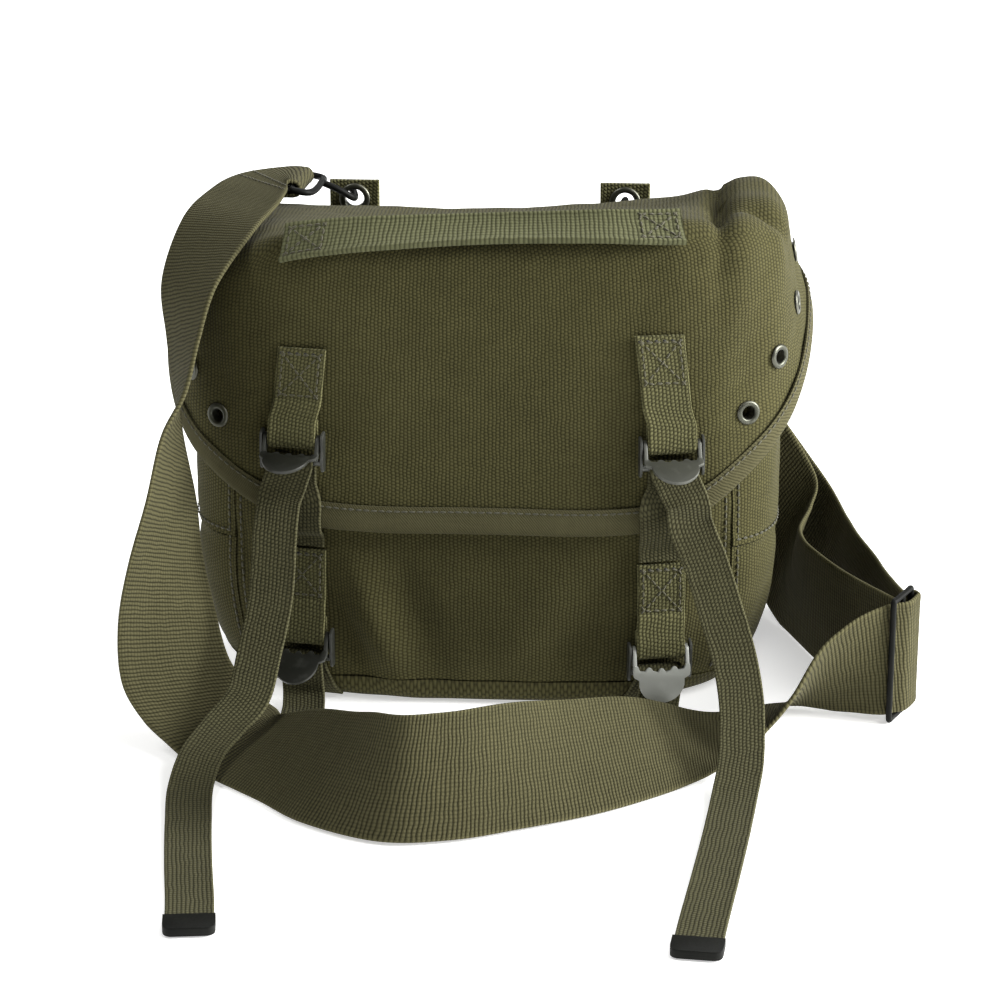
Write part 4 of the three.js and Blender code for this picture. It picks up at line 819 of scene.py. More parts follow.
# %% [markdown]
# ## The body
#
# The body is sewn from a front, a back, a bottom and two pieces on each side that meet at a level seam. Each
# panel is a fine grid on the wall with a real cloth thickness. A cloth simulation would fold it at random, so
# the folds of the picture are given as a table. On top of the large folds of the solids the cloth gets what
# only the eye asks for: small creases, and a slight pucker where the seams pull it in.

# %% Creases and ripples
CANVAS_THICK = 1.8
SEAM_CORNER, SEAM_BACK, BASE_SEAM, SIDE_SEAM = 106.0, 240.0, 12.0, 70.0
SEAM = GAP / 2 + 0.15
GRID_STEP = 2.6
# s, height, depth inward, reach along, reach up, slant
CREASES = np.array([
    (-57, 30, 1.6, 7, 24, -0.35), (-42, 36, -1.8, 6, 30, -0.35), (-27, 44, 1.4, 8, 28, -0.35),
    (43, 38, 1.7, 11, 30, 0.36), (20, 40, -1.1, 11, 28, 0.36), (-60, 76, 0.7, 20, 4, 0),
    (24, 22, 0.7, 18, 6, 0.4), (100, 70, 0.8, 4, 16, 0.2), (-100, 66, 0.8, 4, 16, -0.2),
    (130, 40, 0.9, 6, 20, 0.5), (158, 50, 0.8, 7, 18, -0.4), (196, 40, 0.9, 8, 20, 0.3),
    (-140, 44, 0.9, 7, 20, -0.4), (-190, 50, 0.8, 8, 18, 0.4), (142, 96, 0.8, 8, 14, 0.3),
    (-150, 96, 0.8, 8, 14, -0.3),
], float)
CREASE_FADE = 14.0  # creases grow from nothing over this height above a panel's lower edge
PUCKER, PUCKER_REACH, PUCKER_ALONG, PUCKER_UP = 0.25, 5.0, 5.3, 6.1
GROOVE, GROOVE_AT, GROOVE_WIDE = 0.35, 3.2, 1.6  # the line that a seam's thread presses beside the edge
LAP, LAP_HIGH = 0.9, 7.0  # an upper side panel lies over the lower one by this much
RIPPLES, RIPPLE_SEED, RIPPLE_WIDE = 0.22, 4, 26.0
WAVES = 7


def ripple(p, seed, wide):
    """Small uneven waves in space, the same on every run."""
    dice = np.random.default_rng(seed)
    total = 0.0
    for _ in range(WAVES):
        way = unit(dice.normal(size=3)) * (2 * math.pi / (wide * dice.uniform(0.6, 1.6)))
        total = total + np.sin(p @ way + dice.uniform(0, 6.28))
    return total / WAVES ** 0.5


print("creases on the body:", len(CREASES))

# %% Body panels
MOUTH_DROP = 7.0  # the panels end this far under the flap's shoulder


def panel_piece(name, s0, s1, low, high, lap=0.0):
    cols = int(abs(s1 - s0) / GRID_STEP)
    s = np.linspace(s0, s1, cols + 1)[None, :]
    z1 = high(s) if callable(high) else np.full(s.shape, high)
    rows = int((float(np.max(z1)) - low) / GRID_STEP)
    z = low + (z1 - low) * np.linspace(0, 1, rows + 1)[:, None]
    s = np.broadcast_to(s, z.shape)
    edge = np.minimum(np.abs(s - s0), np.abs(s - s1))
    edge = np.minimum(edge, np.minimum(z - low, z1 - z))
    inset = fold_depth(CREASES, s, z) * rise01((z - low) / CREASE_FADE)
    pucker = np.sin(s / PUCKER_ALONG + z / PUCKER_UP) * bell(edge, PUCKER_REACH) * PUCKER
    lift = lap * rise01(1 - (z - low) / LAP_HIGH) - GROOVE * bell(edge - GROOVE_AT, GROOVE_WIDE)
    flat = wall(s, z, -CANVAS_THICK / 2)
    lift = lift - inset + pucker + RIPPLES * ripple(flat, RIPPLE_SEED, RIPPLE_WIDE)
    points, faces = sheet_points(flat + wall_normal(s, z) * lift[..., None], CANVAS_THICK)
    uv = np.tile(np.stack([s, z], -1).reshape(-1, 2), (2, 1))
    return sew_on(make_piece(f"{name}_cloth", points, faces, CANVAS, uv), "canvas", name)


def mouth(s):
    return shoulder_z(s) - MOUTH_DROP


panel_piece("front_panel", -SEAM_CORNER + SEAM, SEAM_CORNER - SEAM, BASE_SEAM + SEAM, mouth)
panel_piece("back_panel", SEAM_BACK + SEAM, 2 * HALF_ROUND - SEAM_BACK - SEAM, BASE_SEAM + SEAM, mouth)
for side, k in SIDES.items():
    ends = (k * (SEAM_CORNER + SEAM), k * (SEAM_BACK - SEAM))
    panel_piece(f"side_lower_{side}", *ends, BASE_SEAM + SEAM, SIDE_SEAM - SEAM)
    panel_piece(f"side_upper_{side}", *ends, SIDE_SEAM + SEAM, mouth, lap=LAP)

# %% [markdown]
# ## The bottom
#
# The bottom panel is flat where it carries the load and rounds up to the wall seam. It is a round grid with
# a pole in the middle, because its edge has to follow the wall, and its weave is laid flat on the plan.

# %% Bottom panel
BOTTOM_COLS, BOTTOM_RINGS = 180, 22
bottom_s = np.linspace(-HALF_ROUND, HALF_ROUND, BOTTOM_COLS, endpoint=False)
bottom_rows = []
for k in np.linspace(0, 1, BOTTOM_RINGS):
    ring = bare_wall(bottom_s, 0.0) * k
    ring[:, 2] = CANVAS_THICK / 2
    bottom_rows.append(ring)
for z in (0.4, 1.0, 2.2, 3.6, 5.6, 8.0, BASE_SEAM - SEAM):
    bottom_rows.append(wall(bottom_s, np.full(BOTTOM_COLS, z), np.full(BOTTOM_COLS, -CANVAS_THICK / 2)))
bottom_grid = np.array(bottom_rows)
bottom_grid[..., 2] = np.maximum(bottom_grid[..., 2], CANVAS_THICK / 2)
points, faces = sheet_points(bottom_grid, CANVAS_THICK, ring=True, pole=True)
points[:, 2] = np.maximum(points[:, 2], 0.0)
uv = np.tile(bottom_grid[..., :2].reshape(-1, 2), (2, 1))
sew_on(make_piece("bottom_panel_cloth", points, faces, CANVAS, uv), "canvas", "bottom_panel")

# %% [markdown]
# ## The flap
#
# The flap is one grid from a pole on the top, over the rounded edge and down to the hem. Its columns run
# round the pack and its rows down it. Small tucks, dents and ripples are added along the grid's own normals,
# and they fade out towards the hem, where the binding holds the cloth flat. A displacement texture could do
# that too, but a table puts each tuck where the picture has it.

# %% Flap grid
FLAP_COLS, FLAP_TOP_ROWS, FLAP_EDGE_ROWS, FLAP_WALL_ROWS = 300, 46, 12, 56
FLAP_RIPPLES = ((0.3, 9, 34.0), (0.16, 21, 15.0))  # height, seed and width of two sets of small waves
FLAP_CORE = (0, 0, 100)  # a point inside, to tell outward from inward
HEM_FROM, HEM_OVER = 0.82, 0.14  # share of the wall where the tucks start to fade, and over which they end
# x, y, z, height of a tuck or dent, and its reach along x, y and z
TUCKS = np.array([
    (97, -22, 207, -4, 3.6, 26, 30), (80, -30, 204, 2.0, 9, 30, 30), (106, -34, 203, 2.0, 6, 20, 30),
    (117, -21, 205, -4.2, 8, 6, 14), (112, -4, 208, 2.2, 14, 9, 20), (124, -30, 200, 2.0, 5, 8, 14),
    (-60, -62, 120, -1.2, 12, 30, 34), (52, -62, 118, -1.2, 12, 30, 34), (0, -62, 100, 0.9, 40, 30, 14),
    (100, -50, 120, 1.2, 14, 20, 30), (-96, -50, 112, 1.0, 14, 20, 26),
], float)
flap_s = np.linspace(-HALF_ROUND, HALF_ROUND, FLAP_COLS, endpoint=False)
flap_rings = [("top", k) for k in np.linspace(0, 0.99, FLAP_TOP_ROWS)]
flap_rings += [("edge", q) for q in np.sin(np.linspace(0.06, 1.5, FLAP_EDGE_ROWS))]
flap_rings += [("wall", w) for w in np.linspace(0, 1, FLAP_WALL_ROWS)]
flap_grid = np.array([flap_ring(flap_s, *ring) for ring in flap_rings])
flap_lift = sum(high * ripple(flap_grid, seed, wide) for high, seed, wide in FLAP_RIPPLES)
for tuck in TUCKS:
    away = flap_grid - tuck[:3]
    flap_lift = flap_lift + tuck[3] * bell(away, tuck[4:]).prod(-1)
hem_share = np.array([share if kind == "wall" else 0.0 for kind, share in flap_rings])
flap_lift = flap_lift * (1 - rise01((hem_share - HEM_FROM) / HEM_OVER))[:, None]
flap_out = -grid_normals(flap_grid, True)
flap_out[0] = (0, 0, 1)
inward = (flap_out * (flap_grid - FLAP_CORE)).sum(-1, keepdims=True) < 0
flap_out = np.where(inward, -flap_out, flap_out)
flap_grid = flap_grid + flap_out * flap_lift[..., None]
flap_grid[0] = flap_grid[0].mean(0)
print("flap grid:", flap_grid.shape[:2], "rows and columns")

# %% [markdown]
# ### Weave on the flap
#
# The weave lies flat on the plan on the top and follows the wall below, as cloth that is bent over an edge
# does. One UV for each corner of a face lets the two layouts meet without stretching.

# %% Weave on the flap and its mesh
TOP_RINGS = FLAP_TOP_ROWS + FLAP_EDGE_ROWS - 6
steps = np.linalg.norm(np.diff(flap_grid, axis=0), axis=-1)
down = np.concatenate([np.zeros((1, FLAP_COLS)), np.cumsum(steps, 0)])
down = down - down[TOP_RINGS]
wall_uv = np.stack([np.broadcast_to(flap_s, down.shape), -down], -1)
top_uv = flap_grid[..., :2]


def corner_uv(faces, rows, cols):
    """The plan on the top and the wall below; the column that closes the ring keeps counting on."""
    out = []
    for face in faces:
        ids = [i % (rows * cols) for i in face]
        flat = max(i // cols for i in ids) <= TOP_RINGS
        last = any(i % cols == cols - 1 for i in ids) and any(i % cols == 0 for i in ids)
        for i in ids:
            u, v = (top_uv if flat else wall_uv)[i // cols, i % cols]
            out.append((u + 2 * HALF_ROUND if last and not flat and i % cols == 0 else u, v))
    return np.array(out)


points, faces = sheet_points(flap_grid, FLAP_THICK, ring=True, pole=True)
flap = make_piece("flap_cloth", points, faces, CANVAS, corner_uv(faces, *flap_grid.shape[:2]))
print("flap:", len(flap.data.polygons), "faces before the holes are cut")

# %% [markdown]
# ### Eyelet holes
#
# Each wing has four eyelets near its edge. Their holes are cut through the cloth with one Boolean, so that
# one can look through them, and the rings of the eyelets cover the cut edge later.

# %% Eyelet holes
# s along the wall, and the height on the right and on the left
EYELETS = ((111, {"right": 130.1, "left": 125.0}), (125, {"right": 151.3, "left": 142.0}),
           (147, {"right": 167.2, "left": 156.0}), (173, {"right": 182.0, "left": 169.5}))
FLAP_HOLE, DRILL_REACH = 3.5, 6.0
eyelet_names, eyelet_places = [], []
for side, k in SIDES.items():
    for i, (s, up) in enumerate(EYELETS):
        eyelet_names.append(f"flap_eyelet_{side}_{i + 1}")
        place = frame_on(flap_wall, k * s, up[side])
        near = np.argmin(((flap_grid - place[:3, 3]) ** 2).sum(-1))
        place[:3, 3] += place[:3, 2] * ((flap_grid.reshape(-1, 3)[near] - place[:3, 3]) @ place[:3, 2])
        eyelet_places.append(place)


def settle(made):
    """Turns what the modifiers show into the piece's plain mesh."""
    solid = bpy.data.meshes.new_from_object(made.evaluated_get(bpy.context.evaluated_depsgraph_get()))
    made.modifiers.clear()
    made.data = solid
    return made


def cut_holes(made, places, radius, sides):
    """Cuts a round hole through a piece at every place."""
    turn = np.linspace(0, 2 * math.pi, sides, endpoint=False)
    ends = [np.stack([radius * np.cos(turn), radius * np.sin(turn), np.full(sides, h)], -1)
            for h in (-DRILL_REACH, DRILL_REACH)]
    points, faces = [], []
    for start, place in zip(range(0, 2 * sides * len(places), 2 * sides), places):
        points.append(put(place, np.concatenate(ends)))
        faces += grid_faces(2, sides, True, start)
        faces += [[start + c for c in range(sides)][::-1], [start + sides + c for c in range(sides)]]
    drill = make_piece("drill", np.concatenate(points), faces, made.data.materials[0])
    cut = made.modifiers.new("holes", "BOOLEAN")
    cut.operation, cut.object, cut.solver = "DIFFERENCE", drill, "EXACT"
    settle(made)
    bpy.data.objects.remove(drill)


cut_holes(flap, eyelet_places, FLAP_HOLE, sides=20)
sew_on(flap, "canvas", "flap")

# %% [markdown]
# ## The binding
#
# A tape is folded over the flap's whole edge and sewn through. Its section is a few points that go up the
# inside, round the edge and up the outside, and the same section follows the hem all the way round. A
# bevelled curve would turn freely about the hem, and this one always stays square to the cloth.

# %% Binding tape
BINDING = 10.0
TAPE_OFF = FLAP_THICK / 2 + GAP + 0.3 + TAPE_THICK / 2
# height above the edge, and side: inside -1, outside 1
FOLD = ((10, -1), (6, -1), (3, -1), (0.6, -1), (-0.6, -0.82), (-1.4, -0.4), (-1.65, 0), (-1.4, 0.4),
        (-0.6, 0.82), (0.6, 1), (3, 1.06), (6, 1.06), (9, 1), (10, 0.97))
binding_grid = np.array([beside_edge(flap_s, up, off * TAPE_OFF)[0] for up, off in FOLD])
points, faces = sheet_points(binding_grid, TAPE_THICK, ring=True)
over = run_length(np.array(FOLD) * (1, TAPE_OFF))
uv = np.stack(np.broadcast_arrays(flap_s[None, :], over[:, None]), -1).reshape(-1, 2)
binding = make_piece("flap_binding_tape", points, faces, TAPE, np.tile(uv, (2, 1)))
sew_on(binding, "tape", "flap_binding")
print("binding tape:", len(binding.data.polygons), "faces")

# %% [markdown]
# ## The carry handle
#
# The handle is a strip of webbing, folded lengthwise and sewn down at its two ends near the front of the top,
# so that it lifts a little in between. It is a middle line that follows the rounded edge of the flap.

# %% Handle
HANDLE_FROM, HANDLE_TO, HANDLE_WIDTH, HANDLE_THICK = -88.0, 91.0, 16.8, 2.2
# off the cloth at the ends, how much more in the middle, and the run over which it rises
HANDLE_OFF, HANDLE_LIFT, HANDLE_RISE = 2.0, 1.6, 40.0
HANDLE_STEPS = 150


def handle_line(steps):
    middle, across = [], []
    for s in np.linspace(HANDLE_FROM, HANDLE_TO, steps + 1):
        u = s / HANDLE_TO
        share = 0.63 - 0.039 * u - 0.026 * u * u  # where it crosses the rounded edge: from 0, the top, to 1
        low, high, p = (flap_ring(np.array([s]), "edge", q)[0] for q in (share + 0.18, share - 0.38, share))
        up = unit((high - low) * (0.15, 1, 1))
        out = unit(np.cross((1, 0, 0), up))
        raised = HANDLE_OFF + HANDLE_LIFT * rise01(min(s - HANDLE_FROM, HANDLE_TO - s) / HANDLE_RISE)
        middle.append(p + out * (FLAP_THICK / 2 + HANDLE_THICK / 2 + raised))
        across.append(up)
    return np.array(middle), np.array(across)


handle_middle, handle_across = handle_line(HANDLE_STEPS)
handle = strap_piece("carry_handle_webbing", handle_middle, handle_across, HANDLE_WIDTH, HANDLE_THICK,
                     HANDLE_WEB, ROLLED_PROFILE)
sew_on(handle, "webbing", "carry_handle")
print(f"handle: {run_length(handle_middle)[-1]:.0f} mm")

# %% [markdown]
# ## Chapes and bottom straps
#
# A chape is a short doubled piece of webbing that holds a buckle by its upper bar. The two bottom straps come
# from under the base, go round the lower bars and end on the table. All are narrow webbing: each is a middle
# line on the cloth, led round a bar, because only a real turn round the bar looks right from the side.

# %% Chapes
WEB_STEPS = 150
BUCKLE_REACH = 11.0  # nearer to the bar than this, a chape follows the buckle and not the cloth


def chape_line(surface, s, z, length, shift):
    """Down the cloth, out and round the buckle's upper bar, and back up behind."""
    place = frame_on(surface, s + shift, z)
    rows = [(length, LIE), (length - 12, LIE), (length - 22, LIE + 0.05), (15, 2.2), (9, 3.9), (4, 5.7)]
    rows += [(y, n) for _, y, n in wrap_rows(20, -180, 0.0)] + [(4, 1.45), (9, 1.3)]
    points = [put(place, (0, y, n)) if y <= BUCKLE_REACH else surface(s + shift * (1 - y / length), z + y, n)
              for y, n in rows]
    middle = curve_through(points, WEB_STEPS)
    return middle, np.broadcast_to(place[:3, 0], middle.shape)


chape_lines = {}
for side, k in SIDES.items():
    for level, surface, bars, tops, shift in (("upper", flap_face, UPPER_BAR, UPPER_TOP, UPPER_SHIFT[side]),
                                              ("lower", wall, LOWER_BAR, LOWER_TOP, 0.0)):
        node = f"{level}_chape_{side}"
        line = chape_line(surface, k * CHAPE_X, bars[side], tops[side] - bars[side], shift)
        sew_on(strap_piece(f"{node}_webbing", *line, CHAPE_WIDTH, WEB_THICK, LIGHTER_WEB), "webbing", node)
        chape_lines[node] = line
print("chapes:", sorted(chape_lines))

# %% Bottom straps
BOTTOM_REACH = {"left": -86.0, "right": -82.5}
for side, k in SIDES.items():
    s, place, far = k * CHAPE_X, lower_place[side], BOTTOM_REACH[side]
    x = bare_wall(s, LOWER_BAR[side])[0]
    under = [wall(s, 3.4, LIE), wall(s, 7, LIE), wall(s, 11, LIE + 0.1), put(place, (0, -BAR_STEP - 4, 1.5))]
    over = put(place, wrap_rows(180, 0, -BAR_STEP))
    ahead = [put(place, (0, -BAR_STEP - 6, BAR_OUT + WRAP)), put(place, (0, 6.2 - LOWER_BAR[side], 4.8)),
             (x, far + 16, 2.0), (x, far + 10, 1.3), (x, far, 1.3)]
    middle = curve_through(np.concatenate([under, over, ahead]), WEB_STEPS)
    level = np.broadcast_to(place[:3, 0], middle.shape)
    node = f"bottom_strap_{side}"
    sew_on(strap_piece(f"{node}_webbing", middle, level, STRAP_WIDTH, WEB_THICK, WEB), "webbing", node)
print("bottom straps end at y", BOTTOM_REACH)

# %% [markdown]
# ## Plates, tubes and turned rings
#
# Metal parts are either cut from sheet, bent from wire or turned. A plate is an outline with a thickness and
# a small bevel that catches the light, a wire is a ring of points carried along a curve, and an eyelet is a
# profile turned round its axis. Blender's own curve bevel makes wire too, but it gives no plain mesh to join.

# %% Plates
RIM_ANGLE = 0.7  # edges that turn by more than this, in radians, are bevelled


def plate_points(outline, thickness, bevel=0.3, holes=()):
    """An outline in its own plane, made solid from 0 to thickness, with rounded edges."""
    work = bmesh.new()
    edges = []
    for ring in (outline, *holes):
        verts = [work.verts.new((x, y, 0.0)) for x, y in ring]
        edges += [work.edges.new(pair) for pair in zip(verts, verts[1:] + verts[:1])]
    bmesh.ops.triangle_fill(work, edges=edges, use_beauty=True)
    bmesh.ops.dissolve_limit(work, angle_limit=0.01, verts=work.verts, edges=work.edges)
    grown = bmesh.ops.extrude_face_region(work, geom=list(work.faces))
    for v in (g for g in grown["geom"] if isinstance(g, bmesh.types.BMVert)):
        v.co.z += thickness
    bmesh.ops.recalc_face_normals(work, faces=work.faces)
    rims = [e for e in work.edges if len(e.link_faces) == 2 and e.calc_face_angle() > RIM_ANGLE
            and abs(e.verts[0].co.z - e.verts[1].co.z) < 1e-6]
    bmesh.ops.bevel(work, geom=rims, offset=bevel, segments=2, affect="EDGES", profile=0.6)
    work.verts.index_update()
    points = np.array([v.co for v in work.verts])
    faces = [[v.index for v in f.verts] for f in work.faces]
    work.free()
    return points, faces


print("faces of a square plate:", len(plate_points([(0, 0), (9, 0), (9, 9), (0, 9)], 1.0)[1]))

# %% Wires and turned rings
def tube_points(middle, radius, closed=False, sides=14):
    middle = np.asarray(middle, float)
    if closed:
        tangent = unit(np.roll(middle, -1, 0) - np.roll(middle, 1, 0))
    else:
        tangent = unit(np.gradient(middle, axis=0))
    side = unit(np.cross(tangent[0], (0.3, 0.2, 0.9)))
    first = []
    for way in tangent:
        side = unit(side - way * (side @ way))
        first.append(side)
    first = np.array(first)
    second = np.cross(tangent, first)
    turn = np.linspace(0, 2 * math.pi, sides, endpoint=False)[None, :, None]
    rings = middle[:, None] + radius * (np.cos(turn) * first[:, None] + np.sin(turn) * second[:, None])
    faces = grid_faces(len(middle), sides, True)
    low = (len(middle) - 1) * sides
    if closed:
        meet = [int(np.argmin(np.linalg.norm(rings[0] - rings[-1, c], axis=1))) for c in range(sides)]
        faces += [[low + c, low + (c + 1) % sides, meet[(c + 1) % sides], meet[c]] for c in range(sides)]
    else:
        faces += [list(range(sides))[::-1], [low + c for c in range(sides)]]
    return rings.reshape(-1, 3), faces


def lathe(profile, sides):
    """A closed profile of radius and height turned round its axis."""
    turn = np.linspace(0, 2 * math.pi, sides, endpoint=False)
    profile = np.asarray(profile, float)
    points = np.stack([profile[:, None, 0] * np.cos(turn), profile[:, None, 0] * np.sin(turn),
                       np.broadcast_to(profile[:, None, 1], (len(profile), sides))], -1)
    faces = grid_faces(len(profile), sides, True)
    low = (len(profile) - 1) * sides
    faces += [[low + c, low + (c + 1) % sides, (c + 1) % sides, c] for c in range(sides)]
    return points.reshape(-1, 3), faces


print("faces of a straight wire:", len(tube_points([(0, 0, 0), (0, 0, 5)], 1.0)[1]))

# %% Metal put together
def together(parts):
    points, faces, start = [], [], 0
    for p, f in parts:
        points.append(np.asarray(p))
        faces += [[i + start for i in face] for face in f]
        start += len(p)
    return np.concatenate(points), faces


def moved(part, place):
    return put(place, part[0]), part[1]


def upright(x0):
    """Stands a plate that was drawn as y and height on edge, with its thickness along x."""
    return place_from((0, 1, 0), (0, 0, 1), (1, 0, 0), (x0, 0, 0))


def arc(x, y, radius, start, end, steps):
    turn = np.radians(np.linspace(start, end, steps))
    return list(zip(x + radius * np.cos(turn), y + radius * np.sin(turn)))


def metal_piece(name, node, part, finish, smooth_angle=40.0):
    return sew_on(make_piece(name, *part, finish, smooth_angle=smooth_angle), "metal", node)


print("points of a quarter arc:", len(arc(0, 0, 1.0, 0, 90, 12)))

# %% [markdown]
# ## Lever buckles
#
# A buckle is a frame with two cheeks and two bars, and a lever that hangs on the upper bar. The lever's
# toothed edge bites the strap when it is pressed down. All four are shut, as they are in the picture. The
# parts are plates cut to an outline, as the real ones are stamped, and the outlines hold their own teeth.

# %% Outlines of a buckle
LEVER_OUT, LEVER_DOWN, LEVER_THICK = 8.6, 5.2, 1.4  # the lever's edge: off the cloth and under the upper bar
LEVER_TOP, CURL_FROM, CURL = 7.4, 8.0, 0.02  # the thumb plate is drawn this low, and curls in beyond a line
UPPER_LEAN, LOWER_LEAN = {"left": 84.0, "right": 77.0}, {"left": 58.0, "right": 10.0}
CHEEK_THICK, CHEEKS = 1.2, (12.4, -13.6)
ARM_THICK, ARMS = 1.5, (10.5, -12.0)
BAR_HALF = 13.0
CHEEK = [(4.4, 2.2), (4.2, 4.4), (3.2, 6.2), (1.2, 6.7), (-7, 6.8), (-11, 6.3), (-12.5, 5.2), (-12.6, 2.8),
         (-11.6, 2.0), (0, 1.6), (3.0, 1.6)]
TEETH = [(x + dx, dy + 0.02 * x * x) for x in (5.4, 0, -5.4)
         for dx, dy in ((1.7, -9.3), (0.8, -8.0), (0, -7.7), (-0.8, -8.0), (-1.7, -9.3))]
THUMB_SIDE = [(-9.4, -8.4), (-10.2, -6.4), (-11.6, -6.0), (-12.2, -6.8), (-12.3, -9.5), (-12, -11.2),
              (-10.8, -12.0), (-9.7, -12.6)]
THUMB = THUMB_SIDE + arc(0, -13.6, 9.75, 190, 350, 20) + mirrored(THUMB_SIDE) + TEETH
ARM = arc(0, BAR_OUT, 3.0, 241, 421, 12)
ARM += [(-LEVER_DOWN - 0.6, LEVER_OUT + 1.0), (-LEVER_DOWN - 1.8, LEVER_OUT)]
ARM_EYE = arc(0, BAR_OUT, BAR + 0.4, 360, 18, 16)
print("points of a thumb plate:", len(THUMB))

# %% Buckle frames and levers
def buckle_frame():
    cheeks = [moved(plate_points(CHEEK, CHEEK_THICK, 0.35), upright(x)) for x in CHEEKS]
    bars = [tube_points([(-BAR_HALF, y, BAR_OUT), (BAR_HALF, y, BAR_OUT)], BAR, sides=16)
            for y in (0, -BAR_STEP)]
    return together(cheeks + bars)


def buckle_lever(lean):
    points, faces = plate_points(THUMB, LEVER_THICK, 0.4)
    points = points + (0, LEVER_TOP, 0)
    points[:, 2] -= CURL * np.clip(-points[:, 1] - CURL_FROM, 0, None) ** 2
    a = -math.radians(lean)
    swing = place_from((1, 0, 0), (0, math.cos(a), math.sin(a)), (0, -math.sin(a), math.cos(a)),
                       (0, -LEVER_DOWN, LEVER_OUT))
    arms = [moved(plate_points(ARM, ARM_THICK, 0.3, holes=(ARM_EYE,)), upright(x)) for x in ARMS]
    return together([(put(swing, points), faces), *arms])


# which finish each lever gets: the dark phosphate, or a lighter copy that paints the reflection of the bright
# surroundings on a lever that faces them
LEVER_PAINTED_REFLECTION = {"upper_lever_left": DARK_STEEL, "lower_lever_left": DARK_STEEL, "upper_lever_right": HALF_REFLECTION_STEEL,
              "lower_lever_right": FULL_REFLECTION_STEEL}
for side in SIDES:
    for level, places, lean in (("upper", upper_place, UPPER_LEAN), ("lower", lower_place, LOWER_LEAN)):
        frame_node, lever_node = f"{level}_frame_{side}", f"{level}_lever_{side}"
        metal_piece(f"{frame_node}_steel", frame_node, moved(buckle_frame(), places[side]), DARK_STEEL)
        metal_piece(f"{lever_node}_steel", lever_node, moved(buckle_lever(lean[side]), places[side]),
                    LEVER_PAINTED_REFLECTION[lever_node])
print("buckles made:", 2 * len(SIDES))

# %% [markdown]
# ## Strap tips
#
# A tip is a strip of thin metal folded over the strap's end and pressed. It is two plates with a rim between
# them, so the webbing goes in as it does in the real one.

# %% Strap tips
TIP_HALF, TIP_METAL = 1.8, 0.7
TIP_SIDE = [(9.9, -8), (9.9, 0), (9.6, 2.2), (8.6, 3.6), (7.0, 4.4)]
TIP_INSIDE = [(-9.4, -8), (-9.4, 0), (-9.0, 1.9), (-8.2, 3.1), (-6.8, 3.8)]
TIP = TIP_SIDE + mirrored(TIP_SIDE)
TIP_RIM = TIP + TIP_INSIDE + mirrored(TIP_INSIDE)
for side, (middle, across) in closure_lines.items():
    along = unit(middle[-1] - middle[-9])
    place = place_from(across[-1], along, unit(np.cross(across[-1], along)), middle[-1])
    cover, cover_faces = plate_points(TIP, TIP_METAL, 0.25)
    rim, rim_faces = plate_points(TIP_RIM, 2 * TIP_HALF, 0.2)
    layers = [(cover + (0, 0, TIP_HALF - TIP_METAL), cover_faces), (cover - (0, 0, TIP_HALF), cover_faces),
              (rim - (0, 0, TIP_HALF), rim_faces)]
    node = f"strap_tip_{side}"
    metal_piece(f"{node}_steel", node, moved(together(layers), place), PAINTED)

# %% [markdown]
# ## Hooks and slider
#
# The hooks and the slider of the shoulder strap are bent from wire and lacquered black. Each is a tube along
# a curve through a few points. A hook is a closed loop that holds the webbing and an open end that goes
# through its eyelet, and the slider is a closed frame with a bar in the middle.

# %% Hooks
WIRE = 1.5
# both ends of the loop's bar, its two knees, its apex, and the open end through the eyelet
HOOKS = {
    "left": ((-86.5, 28, 201.5), (-86.5, 84, 193.1), (-80, 28.4, 200.3), (-80, 83.6, 192),
             (-77, 60, 196.2),
             [(-77, 60, 196.2), (-70, 60, 193.2), (-64, 62.4, 189), (-63, 67, 187.5), (-64, 71.4, 189.1),
              (-68, 73, 192.5)]),
    "right": ((26.1, 75, 169.5), (82.1, 75, 169.5), (26.6, 74.5, 175.5), (81.6, 74.5, 175.5),
              (54.6, 73, 182.5),
              [(54.6, 73, 182.5), (55.6, 72.6, 184.9), (56.6, 70.4, 187.1), (56.6, 67, 187.5),
               (56.6, 63.4, 187.3), (56.6, 61.6, 189.5)]),
}
for side, (bar_a, bar_b, knee_a, knee_b, apex, tip_path) in HOOKS.items():
    a, b = np.array(bar_a, float), np.array(bar_b, float)
    loop = [a, *(a + (b - a) * u for u in (0.06, 0.5, 0.94)), b, knee_b, apex, knee_a]
    wires = [tube_points(curve_through(loop, 120, True), WIRE, True),
             tube_points(curve_through(tip_path, 40), WIRE)]
    node = f"hook_{side}"
    metal_piece(f"{node}_wire", node, together(wires), PAINTED, 50.0)

# %% Slider
SLIDER_AT, SLIDER_WAY, SLIDER_PITCH = (172.5, -69.5, 0.0), (0.45, 0.893, 0.0), 9.0
SLIDER_LOW, SLIDER_HIGH, SLIDER_WIRE = 1.6, 55.4, 1.3


def slider_point(bar, height):
    """A point of the slider: on its first, middle or last bar, at a height above the table."""
    return np.array(SLIDER_AT) + np.array(SLIDER_WAY) * SLIDER_PITCH * bar + (0, 0, height)


corners = [slider_point(bar, height) for bar, height in (
    (0, SLIDER_LOW), (2, SLIDER_LOW), (2, SLIDER_HIGH), (0, SLIDER_HIGH))]
outer = [a + (b - a) * u for a, b in zip(corners, corners[1:] + corners[:1])
         for u in (0.02, 0.2, 0.5, 0.8, 0.98)]
wires = [tube_points(curve_through(outer, 160, True), SLIDER_WIRE, True),
         tube_points([slider_point(1, SLIDER_LOW), slider_point(1, SLIDER_HIGH)], SLIDER_WIRE)]
slider = metal_piece("strap_slider_wire", "strap_slider", together(wires), PAINTED, 50.0)
print("slider:", len(slider.data.polygons), "faces")

# %% [markdown]
# ## Tabs at the back
#
# Two doubled pieces of webbing stand on the upper edge of the back, each with a large eyelet for a hook. They
# are straight straps, and the hole is cut with a Boolean, as in the flap.

